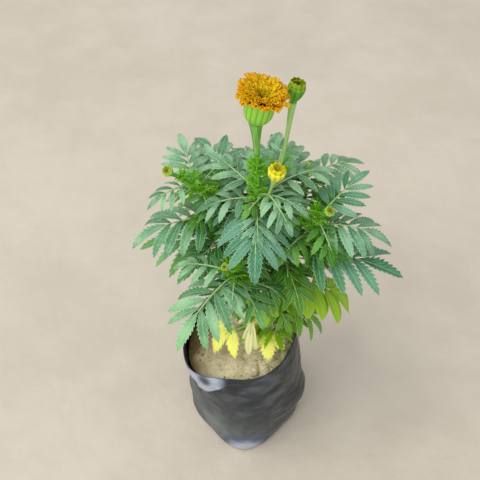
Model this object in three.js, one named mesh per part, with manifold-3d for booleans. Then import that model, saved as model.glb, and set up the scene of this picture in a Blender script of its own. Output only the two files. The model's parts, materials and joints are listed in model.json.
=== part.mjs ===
// A French marigold growing in a black polythene nursery bag.
//
// The bag stands on z = 0 with the middle of its base at the origin. +z is up, -y is the front and +x is
// the right. Lengths are in millimetres and angles in degrees. An azimuth is counted from +x towards +y,
// and a pitch is the angle above the horizon.
import * as THREE from "three";
import Module from "manifold-3d";

const wasm = await Module();
wasm.setup();

const CLEARANCE = 0.3;
const UP = new THREE.Vector3(0, 0, 1);
const rad = THREE.MathUtils.degToRad;
const lerp = THREE.MathUtils.lerp;

// The bag is a thin film cup: a base squared off by the folds in it, and a rim that has gone round.
const BAG = {
  height: 98,
  film: 0.9,
  floor: 1.2,
  sides: 24,
  levels: [0, 4, 22, 42, 62, 82, 98],
  baseRadius: 46.5,
  corners: 4,
  cornerReach: 4,
  rimRadius: 48,
  bellyReach: 1.5,
  footBend: 3,
  wrinkle: { depth: 0.7, waves: 3, twist: 2.1 },
};
// The rim's corner on the front left, where the film is pulled out and folded over
const LIP = { azimuth: 217, spread: 24, reach: 8, drop: 4 };

// The soil fills the bag to a little under its rim, and holds the stem in a blind hole. Its inset is more
// than the film, because its flat faces cut across the bag's curves.
const SOIL = { top: 88, inset: 1.9, lump: 1.6, mound: 3, rings: 6, holeMiddle: 76, holeFloor: 62 };

// Stems pass through these points, from foot to tip. A branch starts on another stem, at a share of it.
const STEMS = {
  main: {
    points: [[19.6, 0, 64], [20.5, 2, 120], [16, 2, 180], [10.5, 0, 236], [9.8, 0, 284], [8.4, 0, 325]],
    radii: [3.3, 2],
  },
  left: {
    from: ["main", 0.52],
    points: [[-8, 8, 214], [-25, 15, 238], [-41, 19, 254], [-54, 19, 262]],
    radii: [1.9, 1.1],
  },
  right: {
    from: ["main", 0.46],
    points: [[30, -4, 196], [43, -10, 218], [53, -14, 246], [60, -16, 254]],
    radii: [1.9, 1.1],
  },
  front: {
    from: ["main", 0.4],
    points: [[10, -20, 182], [-3, -36, 206], [-12.5, -44, 226]],
    radii: [1.8, 1.1],
  },
  tall: {
    from: ["main", 0.62],
    points: [[20, 5, 258], [28.4, 9, 288], [34, 14, 332]],
    radii: [2, 1.8],
  },
  near: {
    from: ["main", 0.64],
    points: [[16.4, -6, 260], [19.4, -10, 271.5], [21.6, -13, 283]],
    radii: [1.7, 1.5],
  },
  back_left: {
    from: ["main", 0.42],
    points: [[2, 22, 196], [-6, 40, 216], [-6, 52, 238]],
    radii: [1.8, 1.1],
  },
  back_right: {
    from: ["main", 0.5],
    points: [[30, 16, 208], [42, 30, 226], [50, 38, 248]],
    radii: [1.8, 1.1],
  },
};
const MAIN_STEM = { sides: 8, steps: 18 };
const BRANCH = { sides: 6, steps: 9 };
// The flower stalk swells from here to the cup that it carries.
const STALK = { swellsFrom: 0.82, topRadius: 4.4, power: 1.4 };

// A leaf is cut to its rib into pairs of leaflets and one at its end. Shares are of the leaf's length, and
// the leaflets are longest where the swell is at its height. Each has a little chance in it.
const LEAF = {
  firstPair: 0.17,
  lastPair: 0.5,
  endLeaflet: 0.56,
  leafletReach: 0.4,
  leafletWidth: 0.32,
  agedWidth: 1.2,
  swell: { depth: 0.18, from: 0.2, to: 0.9 },
  chance: { reach: 0.05, angle: 3 },
  firstAngle: 70,
  lastAngle: 44,
  ribHalfWidth: 0.8,
  ribTaper: 0.4,
  edgeHalfThickness: 0.34,
  sideShare: 0.4,
  sag: 28,
  pairs: 4,
};
// Half of a leaflet's outline: how far along it, and how far out to its widest. Large leaves are toothed.
const TOOTHED = [[0.36, 1], [0.48, 0.66]];
const PLAIN = [[0.3, 0.92], [0.62, 0.84]];
const ROUNDED = [[0.3, 0.92], [0.7, 1.1], [0.93, 0.55]];

// Each leaf: its stem and the share of the way along it, its azimuth and first pitch, how far it bends
// down by its tip, and its length. Some have another number of leaflet pairs, or sag more or less.
const LEAVES = {
  leaf_front: { on: "main", at: 0.64, azimuth: -92, pitch: 22, turn: 62, length: 72 },
  leaf_back: { on: "main", at: 0.66, azimuth: 76, pitch: 28, turn: 48, length: 76 },
  leaf_centre_left: { on: "main", at: 0.6, azimuth: 184, pitch: 30, turn: 60, length: 40, pairs: 3 },
  leaf_centre_right: { on: "main", at: 0.59, azimuth: -36, pitch: 30, turn: 60, length: 36, pairs: 3 },
  leaf_upper_right: { on: "tall", at: 0.36, azimuth: 14, pitch: 32, turn: 50, length: 48, pairs: 3 },
  leaf_upper_left: { on: "main", at: 0.7, azimuth: 140, pitch: 38, turn: 45, length: 46, pairs: 3 },
  leaf_left: { on: "left", at: 0.36, azimuth: 196, pitch: 22, turn: 62, length: 76 },
  leaf_left_upper: { on: "left", at: 0.66, azimuth: 107, pitch: 38, turn: 44, length: 49, sag: 24 },
  leaf_left_back: { on: "left", at: 0.5, azimuth: 78, pitch: 47, turn: 50, length: 58, sag: 24 },
  leaf_left_low: { on: "left", at: 0.2, azimuth: 218, pitch: 6, turn: 46, length: 62 },
  leaf_left_far: { on: "back_left", at: 0.22, azimuth: 174, pitch: 12, turn: 40, length: 92 },
  leaf_right_upper: { on: "right", at: 0.8, azimuth: 40, pitch: 44, turn: 46, length: 51, sag: 24 },
  leaf_right: { on: "right", at: 0.68, azimuth: -14, pitch: 22, turn: 56, length: 62 },
  leaf_right_front: { on: "right", at: 0.42, azimuth: -17, pitch: 12, turn: 30, length: 83, sag: 34 },
  leaf_right_inner: { on: "right", at: 0.6, azimuth: 115, pitch: 45, turn: 50, length: 40, pairs: 3, sag: 24 },
  leaf_right_far: { on: "right", at: 0.2, azimuth: 20, pitch: 5, turn: 50, length: 84 },
  leaf_low_left: { on: "front", at: 0.8, azimuth: -128, pitch: 10, turn: 60, length: 72 },
  leaf_low_front: { on: "front", at: 0.7, azimuth: -62, pitch: 0, turn: 45, length: 44, pairs: 3 },
  leaf_front_inner: { on: "front", at: 0.9, azimuth: 170, pitch: 20, turn: 50, length: 44, pairs: 3 },
  leaf_back_left: { on: "back_left", at: 0.85, azimuth: 118, pitch: 25, turn: 60, length: 70 },
  leaf_back_far: { on: "back_left", at: 0.8, azimuth: 75, pitch: 20, turn: 60, length: 66 },
  leaf_back_low: { on: "back_left", at: 0.5, azimuth: 134, pitch: 10, turn: 46, length: 80 },
  leaf_back_right: { on: "back_right", at: 0.9, azimuth: 24, pitch: 26, turn: 56, length: 52 },
  leaf_rear: { on: "back_right", at: 0.85, azimuth: 114, pitch: 34, turn: 60, length: 58 },
  leaf_rear_low: { on: "back_right", at: 0.5, azimuth: 62, pitch: 0, turn: 50, length: 84 },
  leaf_left_inner: { on: "left", at: 0.72, azimuth: -148, pitch: 12, turn: 50, length: 38, pairs: 3, sag: 24 },
  leaf_front_upper: { on: "near", at: 0.5, azimuth: -64, pitch: 8, turn: 50, length: 38, pairs: 3, sag: 24 },
  leaf_top_back: { on: "tall", at: 0.46, azimuth: 78, pitch: 38, turn: 55, length: 38, pairs: 3, sag: 24 },
  leaf_right_under: { on: "right", at: 0.26, azimuth: -72, pitch: 0, turn: 52, length: 50, pairs: 3 },
  leaf_stem_far: { on: "main", at: 0.36, azimuth: 40, pitch: -5, turn: 55, length: 62, pairs: 3 },
  leaf_stem_right: { on: "main", at: 0.24, azimuth: 34, pitch: -8, turn: 55, length: 50, pairs: 3 },
  leaf_stem_front: { on: "main", at: 0.31, azimuth: -54, pitch: -14, turn: 50, length: 42, pairs: 3 },
  leaf_stem_back: { on: "main", at: 0.33, azimuth: 106, pitch: 0, turn: 60, length: 78 },
  leaf_stem_left: { on: "main", at: 0.3, azimuth: 150, pitch: -5, turn: 60, length: 64, pairs: 3 },
  leaf_stem_low: { on: "main", at: 0.27, azimuth: -12, pitch: 0, turn: 70, length: 60, pairs: 3 },
};

// Leaves that have turned, by the colour of their age: their leaflets are broader, with round ends.
const AGED_LEAVES = {
  old: {
    leaf_old_right: { on: "main", at: 0.36, azimuth: -7, pitch: 8, turn: 74, length: 92 },
    leaf_old_front: { on: "main", at: 0.38, azimuth: -90, pitch: -10, turn: 45, length: 48, pairs: 3 },
  },
  yellow: {
    leaf_yellow: { on: "main", at: 0.22, azimuth: -90, pitch: 8, turn: 65, length: 40, pairs: 2 },
    leaf_yellow_left: { on: "main", at: 0.2, azimuth: -158, pitch: 10, turn: 70, length: 54, pairs: 2 },
  },
  dried: {
    leaf_dried: { on: "main", at: 0.37, azimuth: -111, pitch: -38, turn: 48, length: 70, pairs: 2 },
  },
};

// The open bloom. The cup and the core in it are [height, radius] from foot to top, the core's height
// counted from the cup's. Each ring of petals has their number, where they start, and their pitch and size.
const BLOOM = {
  lean: [0, 80],
  cup: [[0, 4.4], [3, 5.9], [8, 8.8], [14, 10], [20, 10.3], [22, 9.8]],
  ribs: 13,
  ribDepth: 0.3,
  core: [[0, 8.6], [2, 9.8], [5, 8], [6.5, 4.6]],
  petals: [
    { count: 15, from: 8, height: 1.2, pitch: 4, length: 10.4, width: 5.6 },
    { count: 14, from: 7.4, height: 2.8, pitch: 22, length: 10.4, width: 5.4 },
    { count: 12, from: 6.2, height: 4.4, pitch: 40, length: 9, width: 5 },
    { count: 9, from: 4.6, height: 5.2, pitch: 58, length: 7, width: 4.4 },
  ],
  eye: { radius: 4.4, teeth: 7 },
};

// A petal's outline as [share of its length, share of its width], the notch in its end, how far its
// corners curl up, and the chance in its azimuth, pitch and length
const PETAL = {
  outline: [[0, 0.5], [0.45, 0.86], [1, 1]],
  notch: 0.84,
  curl: 2.2,
  halfThickness: 0.35,
  chance: { azimuth: 3, pitch: 6, length: 0.06 },
};

// A bud's cup as shares of its height and radius, and its crown of petals closing round a pit as [height
// of the tips, height between them, radius] in shares of its radius
const BUD_CUP = [[0, 0.3], [0.25, 0.64], [0.6, 0.96], [0.86, 1], [1, 0.88]];
const BUD_RIB = 0.03;
const CROWN = [[0, 0, 0.72], [0.8, 0.34, 0.92], [0.72, 0.36, 0.6], [0.2, 0.14, 0.34]];
const CUP_SIDES = 12;

// Buds: the stem that ends in each, the way it faces, its radius and the height of its cup
const BUDS = {
  bud_tall: { on: "tall", lean: [10, 79], radius: 6.2, height: 14, teeth: 8 },
  bud_near: { on: "near", lean: [-35, 78], radius: 6.4, height: 12, teeth: 8 },
  bud_left: { on: "left", lean: [-120, 55], radius: 4.2, height: 8, teeth: 7 },
  bud_right: { on: "right", lean: [-60, 55], radius: 3.8, height: 7.5, teeth: 7 },
  bud_front: { on: "front", lean: [-110, 55], radius: 2.8, height: 5.5, teeth: 6 },
  bud_back_left: { on: "back_left", lean: [120, 65], radius: 3.8, height: 8, teeth: 7 },
  bud_back_right: { on: "back_right", lean: [50, 65], radius: 3.4, height: 7.5, teeth: 7 },
};

// Young shoots: tufts of narrow blades in the forks of the stems, fanned out over this spread
const SHOOT = {
  blades: 5,
  outline: [[0, 0.35], [0.4, 1]],
  halfWidth: 1.1,
  halfThickness: 0.35,
  spread: 200,
  upright: 80,
  leaning: 30,
  chance: { angle: 8, length: 0.15 },
};
const SHOOTS = [
  { on: "main", at: 0.77, azimuth: -120, length: 18 },
  { on: "left", at: 0.8, azimuth: -50, length: 15 },
  { on: "left", at: 0.6, azimuth: -35, length: 16 },
  { on: "right", at: 0.72, azimuth: 160, length: 18 },
  { on: "front", at: 0.9, azimuth: -20, length: 16 },
  { on: "back_left", at: 0.76, azimuth: -100, length: 16 },
  { on: "back_right", at: 0.68, azimuth: -130, length: 16 },
];

const FINISHES = {
  film: { color: "#1b1c1e", roughness: 0.35 },
  soil: { color: "#b9a27c", roughness: 0.95 },
  stem: { color: "#7fae52", roughness: 0.55 },
  green: { color: "#4f8f76", roughness: 0.6 },
  old: { color: "#8fbf3c", roughness: 0.6 },
  yellow: { color: "#dfe04a", roughness: 0.6 },
  dried: { color: "#d8d29a", roughness: 0.8 },
  cup: { color: "#6fae48", roughness: 0.5 },
  petals: { color: "#f0a010", roughness: 0.6 },
  eye: { color: "#c9a51c", roughness: 0.7 },
  budPetals: { color: "#d9c722", roughness: 0.6 },
};

// First states of the random draws, and the constants of the generator behind them
const SEEDS = { soil: 7, petals: 11, shoots: 40, leaves: 100 };
const GENERATOR = { times: 1664525, plus: 1013904223, modulus: 2 ** 32 };

// A repeatable random draw between -1 and 1
function draw(seed) {
  let state = seed;
  return () => {
    state = (state * GENERATOR.times + GENERATOR.plus) % GENERATOR.modulus;
    return (state / GENERATOR.modulus) * 2 - 1;
  };
}

// A unit vector at an azimuth and a pitch
function heading(azimuth, pitch) {
  const tilted = new THREE.Vector3(Math.cos(rad(pitch)), 0, Math.sin(rad(pitch)));
  return tilted.applyAxisAngle(UP, rad(azimuth));
}

// A closed surface from points and the triangles between them
function surface(points, faces) {
  const geometry = new THREE.BufferGeometry().setFromPoints(points);
  geometry.setIndex(faces);
  return geometry;
}

function toSolid(geometry) {
  return new wasm.Manifold(
    new wasm.Mesh({
      numProp: 3,
      vertProperties: Float32Array.from(geometry.attributes.position.array),
      triVerts: Uint32Array.from(geometry.index.array),
    }),
  );
}

function toGeometry(solid) {
  const mesh = solid.getMesh();
  const geometry = new THREE.BufferGeometry();
  geometry.setAttribute("position", new THREE.BufferAttribute(Float32Array.from(mesh.vertProperties), 3));
  geometry.setIndex(new THREE.BufferAttribute(Uint32Array.from(mesh.triVerts), 1));
  return geometry;
}

function fuse(geometries) {
  return toGeometry(geometries.map(toSolid).reduce((whole, next) => whole.add(next)));
}

// A ring of points about a centre, turning from one direction towards another
function ring(centre, u, v, radius, sides) {
  return Array.from({ length: sides }, (_, j) => {
    const angle = (2 * Math.PI * j) / sides;
    const across = centre.clone().addScaledVector(u, radius * Math.cos(angle));
    return across.addScaledVector(v, radius * Math.sin(angle));
  });
}

// A ring about the z axis, whose radius and height follow the angle
function levelRing(radius, height, sides) {
  return Array.from({ length: sides }, (_, j) => {
    const angle = (2 * Math.PI * j) / sides;
    return new THREE.Vector3(radius(angle) * Math.cos(angle), radius(angle) * Math.sin(angle), height(angle));
  });
}

// A closed solid through rings that turn anticlockwise seen from the last one
function loft(rings) {
  const n = rings[0].length;
  const points = rings.flat();
  const middle = (ends) => ends.reduce((sum, p) => sum.add(p), new THREE.Vector3()).divideScalar(n);
  const first = points.push(middle(rings[0])) - 1;
  const last = points.push(middle(rings.at(-1))) - 1;
  const top = (rings.length - 1) * n;
  const faces = [];
  for (let j = 0; j < n; j++) {
    const next = (j + 1) % n;
    for (let i = 0; i < top; i += n) {
      faces.push(i + j, i + next, i + n + next);
      faces.push(i + j, i + n + next, i + n + j);
    }
    faces.push(first, next, j);
    faces.push(last, top + j, top + next);
  }
  return surface(points, faces);
}

// A thin blade: a flat plan of points [along, aside, half thickness] and triangles, bent by a function
function blade(plan, place) {
  const n = plan.points.length;
  const points = [1, -1].flatMap((side) => plan.points.map(([u, v, half]) => place(u, v, side * half)));
  const faces = [];
  const edges = new Set(plan.faces.flatMap(([a, b, c]) => [`${a} ${b}`, `${b} ${c}`, `${c} ${a}`]));
  for (const [a, b, c] of plan.faces) {
    faces.push(a, b, c);
    faces.push(n + c, n + b, n + a);
    for (const [p, q] of [[a, b], [b, c], [c, a]]) {
      if (edges.has(`${q} ${p}`)) continue;
      faces.push(n + p, n + q, q);
      faces.push(n + p, q, p);
    }
  }
  return surface(points, faces);
}

// A leaflet on a plan: from a root edge along a direction to a point, as wide as its outline says
function addLeaflet(plan, [left, right], { root, angle, reach, halfWidth, outline }) {
  const [du, dv] = [Math.cos(angle), Math.sin(angle)];
  const add = (share, width) => {
    const [along, aside] = [share * reach, width * halfWidth];
    const point = [root[0] + along * du - aside * dv, root[1] + along * dv + aside * du];
    return plan.points.push([...point, LEAF.edgeHalfThickness]) - 1;
  };
  let [l, r] = [left, right];
  for (const [share, width] of outline) {
    const [nextL, nextR] = [add(share, width), add(share, -width)];
    plan.faces.push([l, r, nextR], [l, nextR, nextL]);
    [l, r] = [nextL, nextR];
  }
  plan.faces.push([l, r, add(1, 0)]);
}

// A leaf's flat plan: a tapered rib from end to end, with the leaflets' roots on its edges
function leafPlan({ length, pairs = LEAF.pairs, age }, random) {
  const plan = { points: [], faces: [] };
  const ribAt = (u) => LEAF.ribHalfWidth * (1 - (LEAF.ribTaper * u) / length);
  const station = (u) => {
    plan.points.push([u, ribAt(u), ribAt(u)], [u, -ribAt(u), ribAt(u)]);
    return [plan.points.length - 2, plan.points.length - 1];
  };
  const join = ([l, r], [nextL, nextR]) => plan.faces.push([l, r, nextR], [l, nextR, nextL]);
  const greenOutline = pairs > 3 ? TOOTHED : PLAIN;
  const outline = age ? ROUNDED : greenOutline;
  const halfWidth = (LEAF.leafletWidth * (age ? LEAF.agedWidth : 1)) / 2;
  const { swell, chance } = LEAF;
  let end = station(0);
  for (let i = 0; i < pairs; i++) {
    const share = i / (pairs - 1);
    const root = length * lerp(LEAF.firstPair, LEAF.lastPair, share);
    const before = station(root - ribAt(root));
    const after = station(root + ribAt(root));
    join(end, before);
    join(before, after);
    end = after;
    for (const side of [1, -1]) {
      const wave = 1 - swell.depth * (1 - Math.sin(Math.PI * lerp(swell.from, swell.to, share)));
      const reach = length * LEAF.leafletReach * (wave + chance.reach * random());
      const angle = side * rad(lerp(LEAF.firstAngle, LEAF.lastAngle, share) + chance.angle * random());
      const corners = side > 0 ? [before[0], after[0]] : [after[1], before[1]];
      const foot = [root, side * ribAt(root)];
      addLeaflet(plan, corners, { root: foot, angle, reach, halfWidth: reach * halfWidth, outline });
    }
  }
  const root = length * LEAF.endLeaflet;
  const last = station(root);
  const reach = length - root;
  join(end, last);
  addLeaflet(plan, last, { root: [root, 0], angle: 0, reach, halfWidth: reach * halfWidth, outline });
  return plan;
}

// How far along and up an evenly bending line has come, and its pitch there
function arc(pitch, turn, length, s) {
  const start = rad(pitch);
  const rate = rad(turn) / length;
  const now = start - rate * s;
  return [(Math.sin(start) - Math.sin(now)) / rate, (Math.cos(now) - Math.cos(start)) / rate, now];
}

// A leaf along +x with +z up: its rib bends down towards its tip, and its sides sag from the rib.
function leafGeometry(leaf, random) {
  const rate = rad(leaf.sag ?? LEAF.sag) / (LEAF.sideShare * leaf.length);
  return blade(leafPlan(leaf, random), (u, v, w) => {
    const [along, up, pitch] = arc(leaf.pitch, leaf.turn, leaf.length, u);
    const sink = rate * v;
    const aside = Math.sin(sink) / rate + w * Math.sin(sink);
    const drop = (1 - Math.cos(sink)) / rate - w * Math.cos(sink);
    return new THREE.Vector3(along + drop * Math.sin(pitch), aside, up - drop * Math.cos(pitch));
  });
}

function stemCurve(name) {
  const { from, points } = STEMS[name];
  const through = points.map((p) => new THREE.Vector3(...p));
  if (from) through.unshift(stemCurve(from[0]).getPoint(from[1]));
  return new THREE.CatmullRomCurve3(through, false, "catmullrom", 0.5);
}

function stemRadius(name, t) {
  const plain = lerp(...STEMS[name].radii, t);
  if (name !== "main" || t < STALK.swellsFrom) return plain;
  const share = (t - STALK.swellsFrom) / (1 - STALK.swellsFrom);
  return lerp(plain, STALK.topRadius, share ** STALK.power);
}

function stemTube(name) {
  const curve = stemCurve(name);
  const { sides, steps } = name === "main" ? MAIN_STEM : BRANCH;
  const rings = [];
  for (let i = 0; i <= steps; i++) {
    const t = i / steps;
    const along = curve.getTangent(t);
    const u = new THREE.Vector3(0, 1, 0).cross(along).normalize();
    const v = along.clone().cross(u);
    rings.push(ring(curve.getPoint(t), u, v, stemRadius(name, t), sides));
  }
  return loft(rings);
}

// Where something grows out of a stem: clear of its surface by the clearance, for a foot of this half width
function standOff(name, t, direction, halfWidth) {
  const curve = stemCurve(name);
  const lengthwise = direction.dot(curve.getTangent(t));
  const across = Math.sqrt(1 - lengthwise * lengthwise);
  const distance = (stemRadius(name, t) + CLEARANCE + halfWidth * Math.abs(lengthwise)) / across;
  return curve.getPoint(t).addScaledVector(direction, distance);
}

// How strongly the rim's corner pulls the film at an angle, from 0 to 1
function lipPull(angle) {
  return Math.exp(-(((angle - rad(LIP.azimuth)) / rad(LIP.spread)) ** 2));
}

// The wall's outer radius at a level of the bag, by angle
function wallRadius(level, angle) {
  const share = BAG.levels[level] / BAG.height;
  const bulge = Math.sin(Math.PI * share);
  const base = BAG.baseRadius + BAG.cornerReach * Math.cos(BAG.corners * angle);
  const rim = BAG.rimRadius + LIP.reach * lipPull(angle) * share ** 3;
  const { depth, waves, twist } = BAG.wrinkle;
  const creases = depth * Math.sin(waves * angle + twist * level) * bulge;
  const foot = level === 0 ? BAG.footBend : 0;
  return lerp(base, rim, share) + BAG.bellyReach * bulge + creases - foot;
}

function wallRing(level, inset, height) {
  return levelRing((angle) => wallRadius(level, angle) - inset, height, BAG.sides);
}

function bagGeometry() {
  const top = BAG.levels.length - 1;
  const height = (level) => (angle) => BAG.levels[level] - (level === top ? LIP.drop * lipPull(angle) : 0);
  const outside = BAG.levels.map((_, level) => wallRing(level, 0, height(level)));
  const inside = BAG.levels.map((_, level) => wallRing(level, BAG.film, height(level))).slice(1);
  const floor = wallRing(0, BAG.film, () => BAG.floor);
  return loft([...outside, ...inside.toReversed(), floor]);
}

// The hole's edge at a height: it follows the first span of the stem that stands in it.
function holeRing(z) {
  const [foot, next] = STEMS.main.points;
  const spans = STEMS.main.points.length - 1;
  const t = (z - foot[2]) / (next[2] - foot[2]) / spans;
  const centre = stemCurve("main").getPoint(Math.max(t, 0)).setZ(z);
  const radius = stemRadius("main", 0) + 2 * CLEARANCE;
  return ring(centre, new THREE.Vector3(1, 0, 0), new THREE.Vector3(0, 1, 0), radius, BAG.sides);
}

function soilGeometry() {
  const random = draw(SEEDS.soil);
  const filled = BAG.levels.filter((height) => height < SOIL.top).length;
  const rings = [wallRing(0, SOIL.inset, () => BAG.floor + CLEARANCE)];
  for (let level = 1; level < filled; level++) {
    rings.push(wallRing(level, SOIL.inset, () => BAG.levels[level]));
  }
  const [below, above] = [BAG.levels[filled - 1], BAG.levels[filled]];
  const share = (SOIL.top - below) / (above - below);
  const edgeRadius = (angle) => lerp(wallRadius(filled - 1, angle), wallRadius(filled, angle), share);
  const edge = levelRing((angle) => edgeRadius(angle) - SOIL.inset, () => SOIL.top, BAG.sides);
  const mouth = holeRing(SOIL.top + SOIL.mound);
  rings.push(edge);
  for (let i = 1; i < SOIL.rings; i++) {
    const inward = i / SOIL.rings;
    rings.push(
      edge.map((p, j) => {
        const lump = SOIL.mound * inward + SOIL.lump * random();
        return p.clone().lerp(mouth[j], inward).setZ(SOIL.top + lump);
      }),
    );
  }
  rings.push(mouth, holeRing(SOIL.holeMiddle), holeRing(SOIL.holeFloor));
  return loft(rings);
}

// Rings up the z axis through [height, radius], with a rib on every second side
function profileSolid(profile, sides, rib = 0) {
  const wave = (angle) => (Math.round((angle * sides) / (2 * Math.PI)) % 2 ? -rib : rib);
  return loft(profile.map(([z, radius]) => levelRing((angle) => radius + wave(angle), () => z, sides)));
}

// A petal: it widens from its root, and its end has a notch between two raised corners.
function petalPlan(length, width) {
  const half = PETAL.halfThickness;
  const points = PETAL.outline.flatMap(([along, aside]) => [
    [length * along, (aside * width) / 2, half],
    [length * along, (-aside * width) / 2, half],
  ]);
  points.push([length * PETAL.notch, 0, half]);
  return { points, faces: [[0, 1, 3], [0, 3, 2], [2, 3, 6], [2, 6, 4], [3, 5, 6]] };
}

function petal({ azimuth, pitch, from, height, length, width }) {
  const along = heading(azimuth, pitch);
  const aside = heading(azimuth + 90, 0);
  const normal = along.clone().cross(aside);
  const root = heading(azimuth, 0).multiplyScalar(from).addScaledVector(UP, height);
  return blade(petalPlan(length, width), (u, v, w) => {
    const curl = PETAL.curl * (Math.abs(v) / width) * (u / length) ** 2;
    const point = root.clone().addScaledVector(along, u).addScaledVector(aside, v);
    return point.addScaledVector(normal, w + curl);
  });
}

// Rings of petals round the z axis, every second one turned by half a petal
function petalRings(rings, random) {
  const { chance } = PETAL;
  return rings.flatMap((row, k) =>
    Array.from({ length: row.count }, (_, i) => {
      const azimuth = (360 * (i + 0.5 * (k % 2))) / row.count + chance.azimuth * random();
      const pitch = row.pitch + chance.pitch * random();
      return petal({ ...row, azimuth, pitch, length: row.length * (1 + chance.length * random()) });
    }),
  );
}

// A crown of pointed petal tips round a pit, up the z axis
function crownGeometry(radius, teeth) {
  const isTip = (angle) => Math.round((angle * teeth) / Math.PI) % 2 === 0;
  const height = ([tip, between]) => (angle) => radius * (isTip(angle) ? tip : between);
  return loft(CROWN.map((row) => levelRing(() => row[2] * radius, height(row), 2 * teeth)));
}

// Narrow blades that grow from inside a stem and lean out to one side of it, every second one more upright
function shootBlades({ on, at, azimuth, length }, random) {
  const { blades, outline, halfWidth, halfThickness, spread, upright, leaning, chance } = SHOOT;
  const sides = outline.flatMap(([along, aside]) => [[along, aside], [along, -aside]]);
  const plan = {
    points: [...sides, [1, 0]].map(([u, v]) => [u, v * halfWidth, halfThickness]),
    faces: [[0, 1, 3], [0, 3, 2], [2, 3, 4]],
  };
  const foot = stemCurve(on).getPoint(at);
  return Array.from({ length: blades }, (_, i) => {
    const turn = azimuth + spread * ((i + 0.5) / blades - 0.5) + chance.angle * random();
    const pitch = i % 2 ? lerp(upright, leaning, i / (blades - 1)) : leaning + chance.angle * random();
    const reach = length * (1 + chance.length * random());
    const along = heading(turn, pitch);
    const aside = heading(turn + 90, 0);
    const normal = along.clone().cross(aside);
    return blade(plan, (u, v, w) => {
      const point = foot.clone().addScaledVector(along, u * reach).addScaledVector(aside, v);
      return point.addScaledVector(normal, w);
    });
  });
}

const plant = new THREE.Group();

function addMesh(name, geometry, finish) {
  const material = new THREE.MeshStandardMaterial({ ...FINISHES[finish], metalness: 0 });
  const mesh = new THREE.Mesh(geometry, material);
  mesh.name = name;
  plant.add(mesh);
  return mesh;
}

// Places a mesh made along +z so that it points along a direction
function aim(mesh, position, direction) {
  mesh.position.copy(position);
  mesh.quaternion.setFromUnitVectors(UP, direction);
}

// Where a head that faces a direction sits on the end of its stem
function headSeat(name, direction) {
  const curve = stemCurve(name);
  const tilt = direction.angleTo(curve.getTangent(1));
  return curve.getPoint(1).addScaledVector(direction, CLEARANCE + stemRadius(name, 1) * Math.sin(tilt));
}

// The next seat along a direction, on top of a piece of this height
function nextSeat(seat, direction, height) {
  return seat.clone().addScaledVector(direction, height + CLEARANCE);
}

addMesh("grow_bag", bagGeometry(), "film");
addMesh("soil", soilGeometry(), "soil");

const shootParts = SHOOTS.flatMap((shoot, i) => shootBlades(shoot, draw(SEEDS.shoots + i)));
addMesh("stem", fuse([...Object.keys(STEMS).map(stemTube), ...shootParts]), "stem");

const agedLeaves = Object.entries(AGED_LEAVES).flatMap(([age, leaves]) =>
  Object.entries(leaves).map(([name, leaf]) => [name, { ...leaf, age }]),
);
[...Object.entries(LEAVES), ...agedLeaves].forEach(([name, leaf], i) => {
  const mesh = addMesh(name, leafGeometry(leaf, draw(SEEDS.leaves + i)), leaf.age ?? "green");
  mesh.position.copy(standOff(leaf.on, leaf.at, heading(leaf.azimuth, leaf.pitch), LEAF.ribHalfWidth));
  mesh.rotation.z = rad(leaf.azimuth);
});

const bloomFacing = heading(...BLOOM.lean);
const cupSeat = headSeat("main", bloomFacing);
const petalSeat = nextSeat(cupSeat, bloomFacing, BLOOM.cup.at(-1)[0]);
const eyeSeat = nextSeat(petalSeat, bloomFacing, BLOOM.core.at(-1)[0]);
const bloomCup = profileSolid(BLOOM.cup, 2 * BLOOM.ribs, BLOOM.ribDepth);
const bloomCore = profileSolid(BLOOM.core, CUP_SIDES);
const bloomPetals = fuse([bloomCore, ...petalRings(BLOOM.petals, draw(SEEDS.petals))]);
aim(addMesh("bloom_cup", bloomCup, "cup"), cupSeat, bloomFacing);
aim(addMesh("bloom_petals", bloomPetals, "petals"), petalSeat, bloomFacing);
aim(addMesh("bloom_eye", crownGeometry(BLOOM.eye.radius, BLOOM.eye.teeth), "eye"), eyeSeat, bloomFacing);

for (const [name, { on, lean, radius, height, teeth }] of Object.entries(BUDS)) {
  const facing = heading(...lean);
  const seat = headSeat(on, facing);
  const cup = BUD_CUP.map(([z, r]) => [z * height, r * radius]);
  aim(addMesh(`${name}_cup`, profileSolid(cup, CUP_SIDES, BUD_RIB * radius), "cup"), seat, facing);
  const crownSeat = nextSeat(seat, facing, height);
  aim(addMesh(`${name}_petals`, crownGeometry(radius, teeth), "budPetals"), crownSeat, facing);
}

export default plant;
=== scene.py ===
"""A French marigold in a black film nursery bag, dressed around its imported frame.

Lengths are in metres, with the middle of the bag's base at the origin, +Z up and -Y the front. Azimuths
are degrees from +X towards +Y, and pitches are degrees above the horizon.
"""

import json
import logging
import math
from collections.abc import Callable, Sequence
from dataclasses import dataclass, field
from enum import Enum

import bpy
import numpy as np
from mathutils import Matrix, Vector, noise

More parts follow.
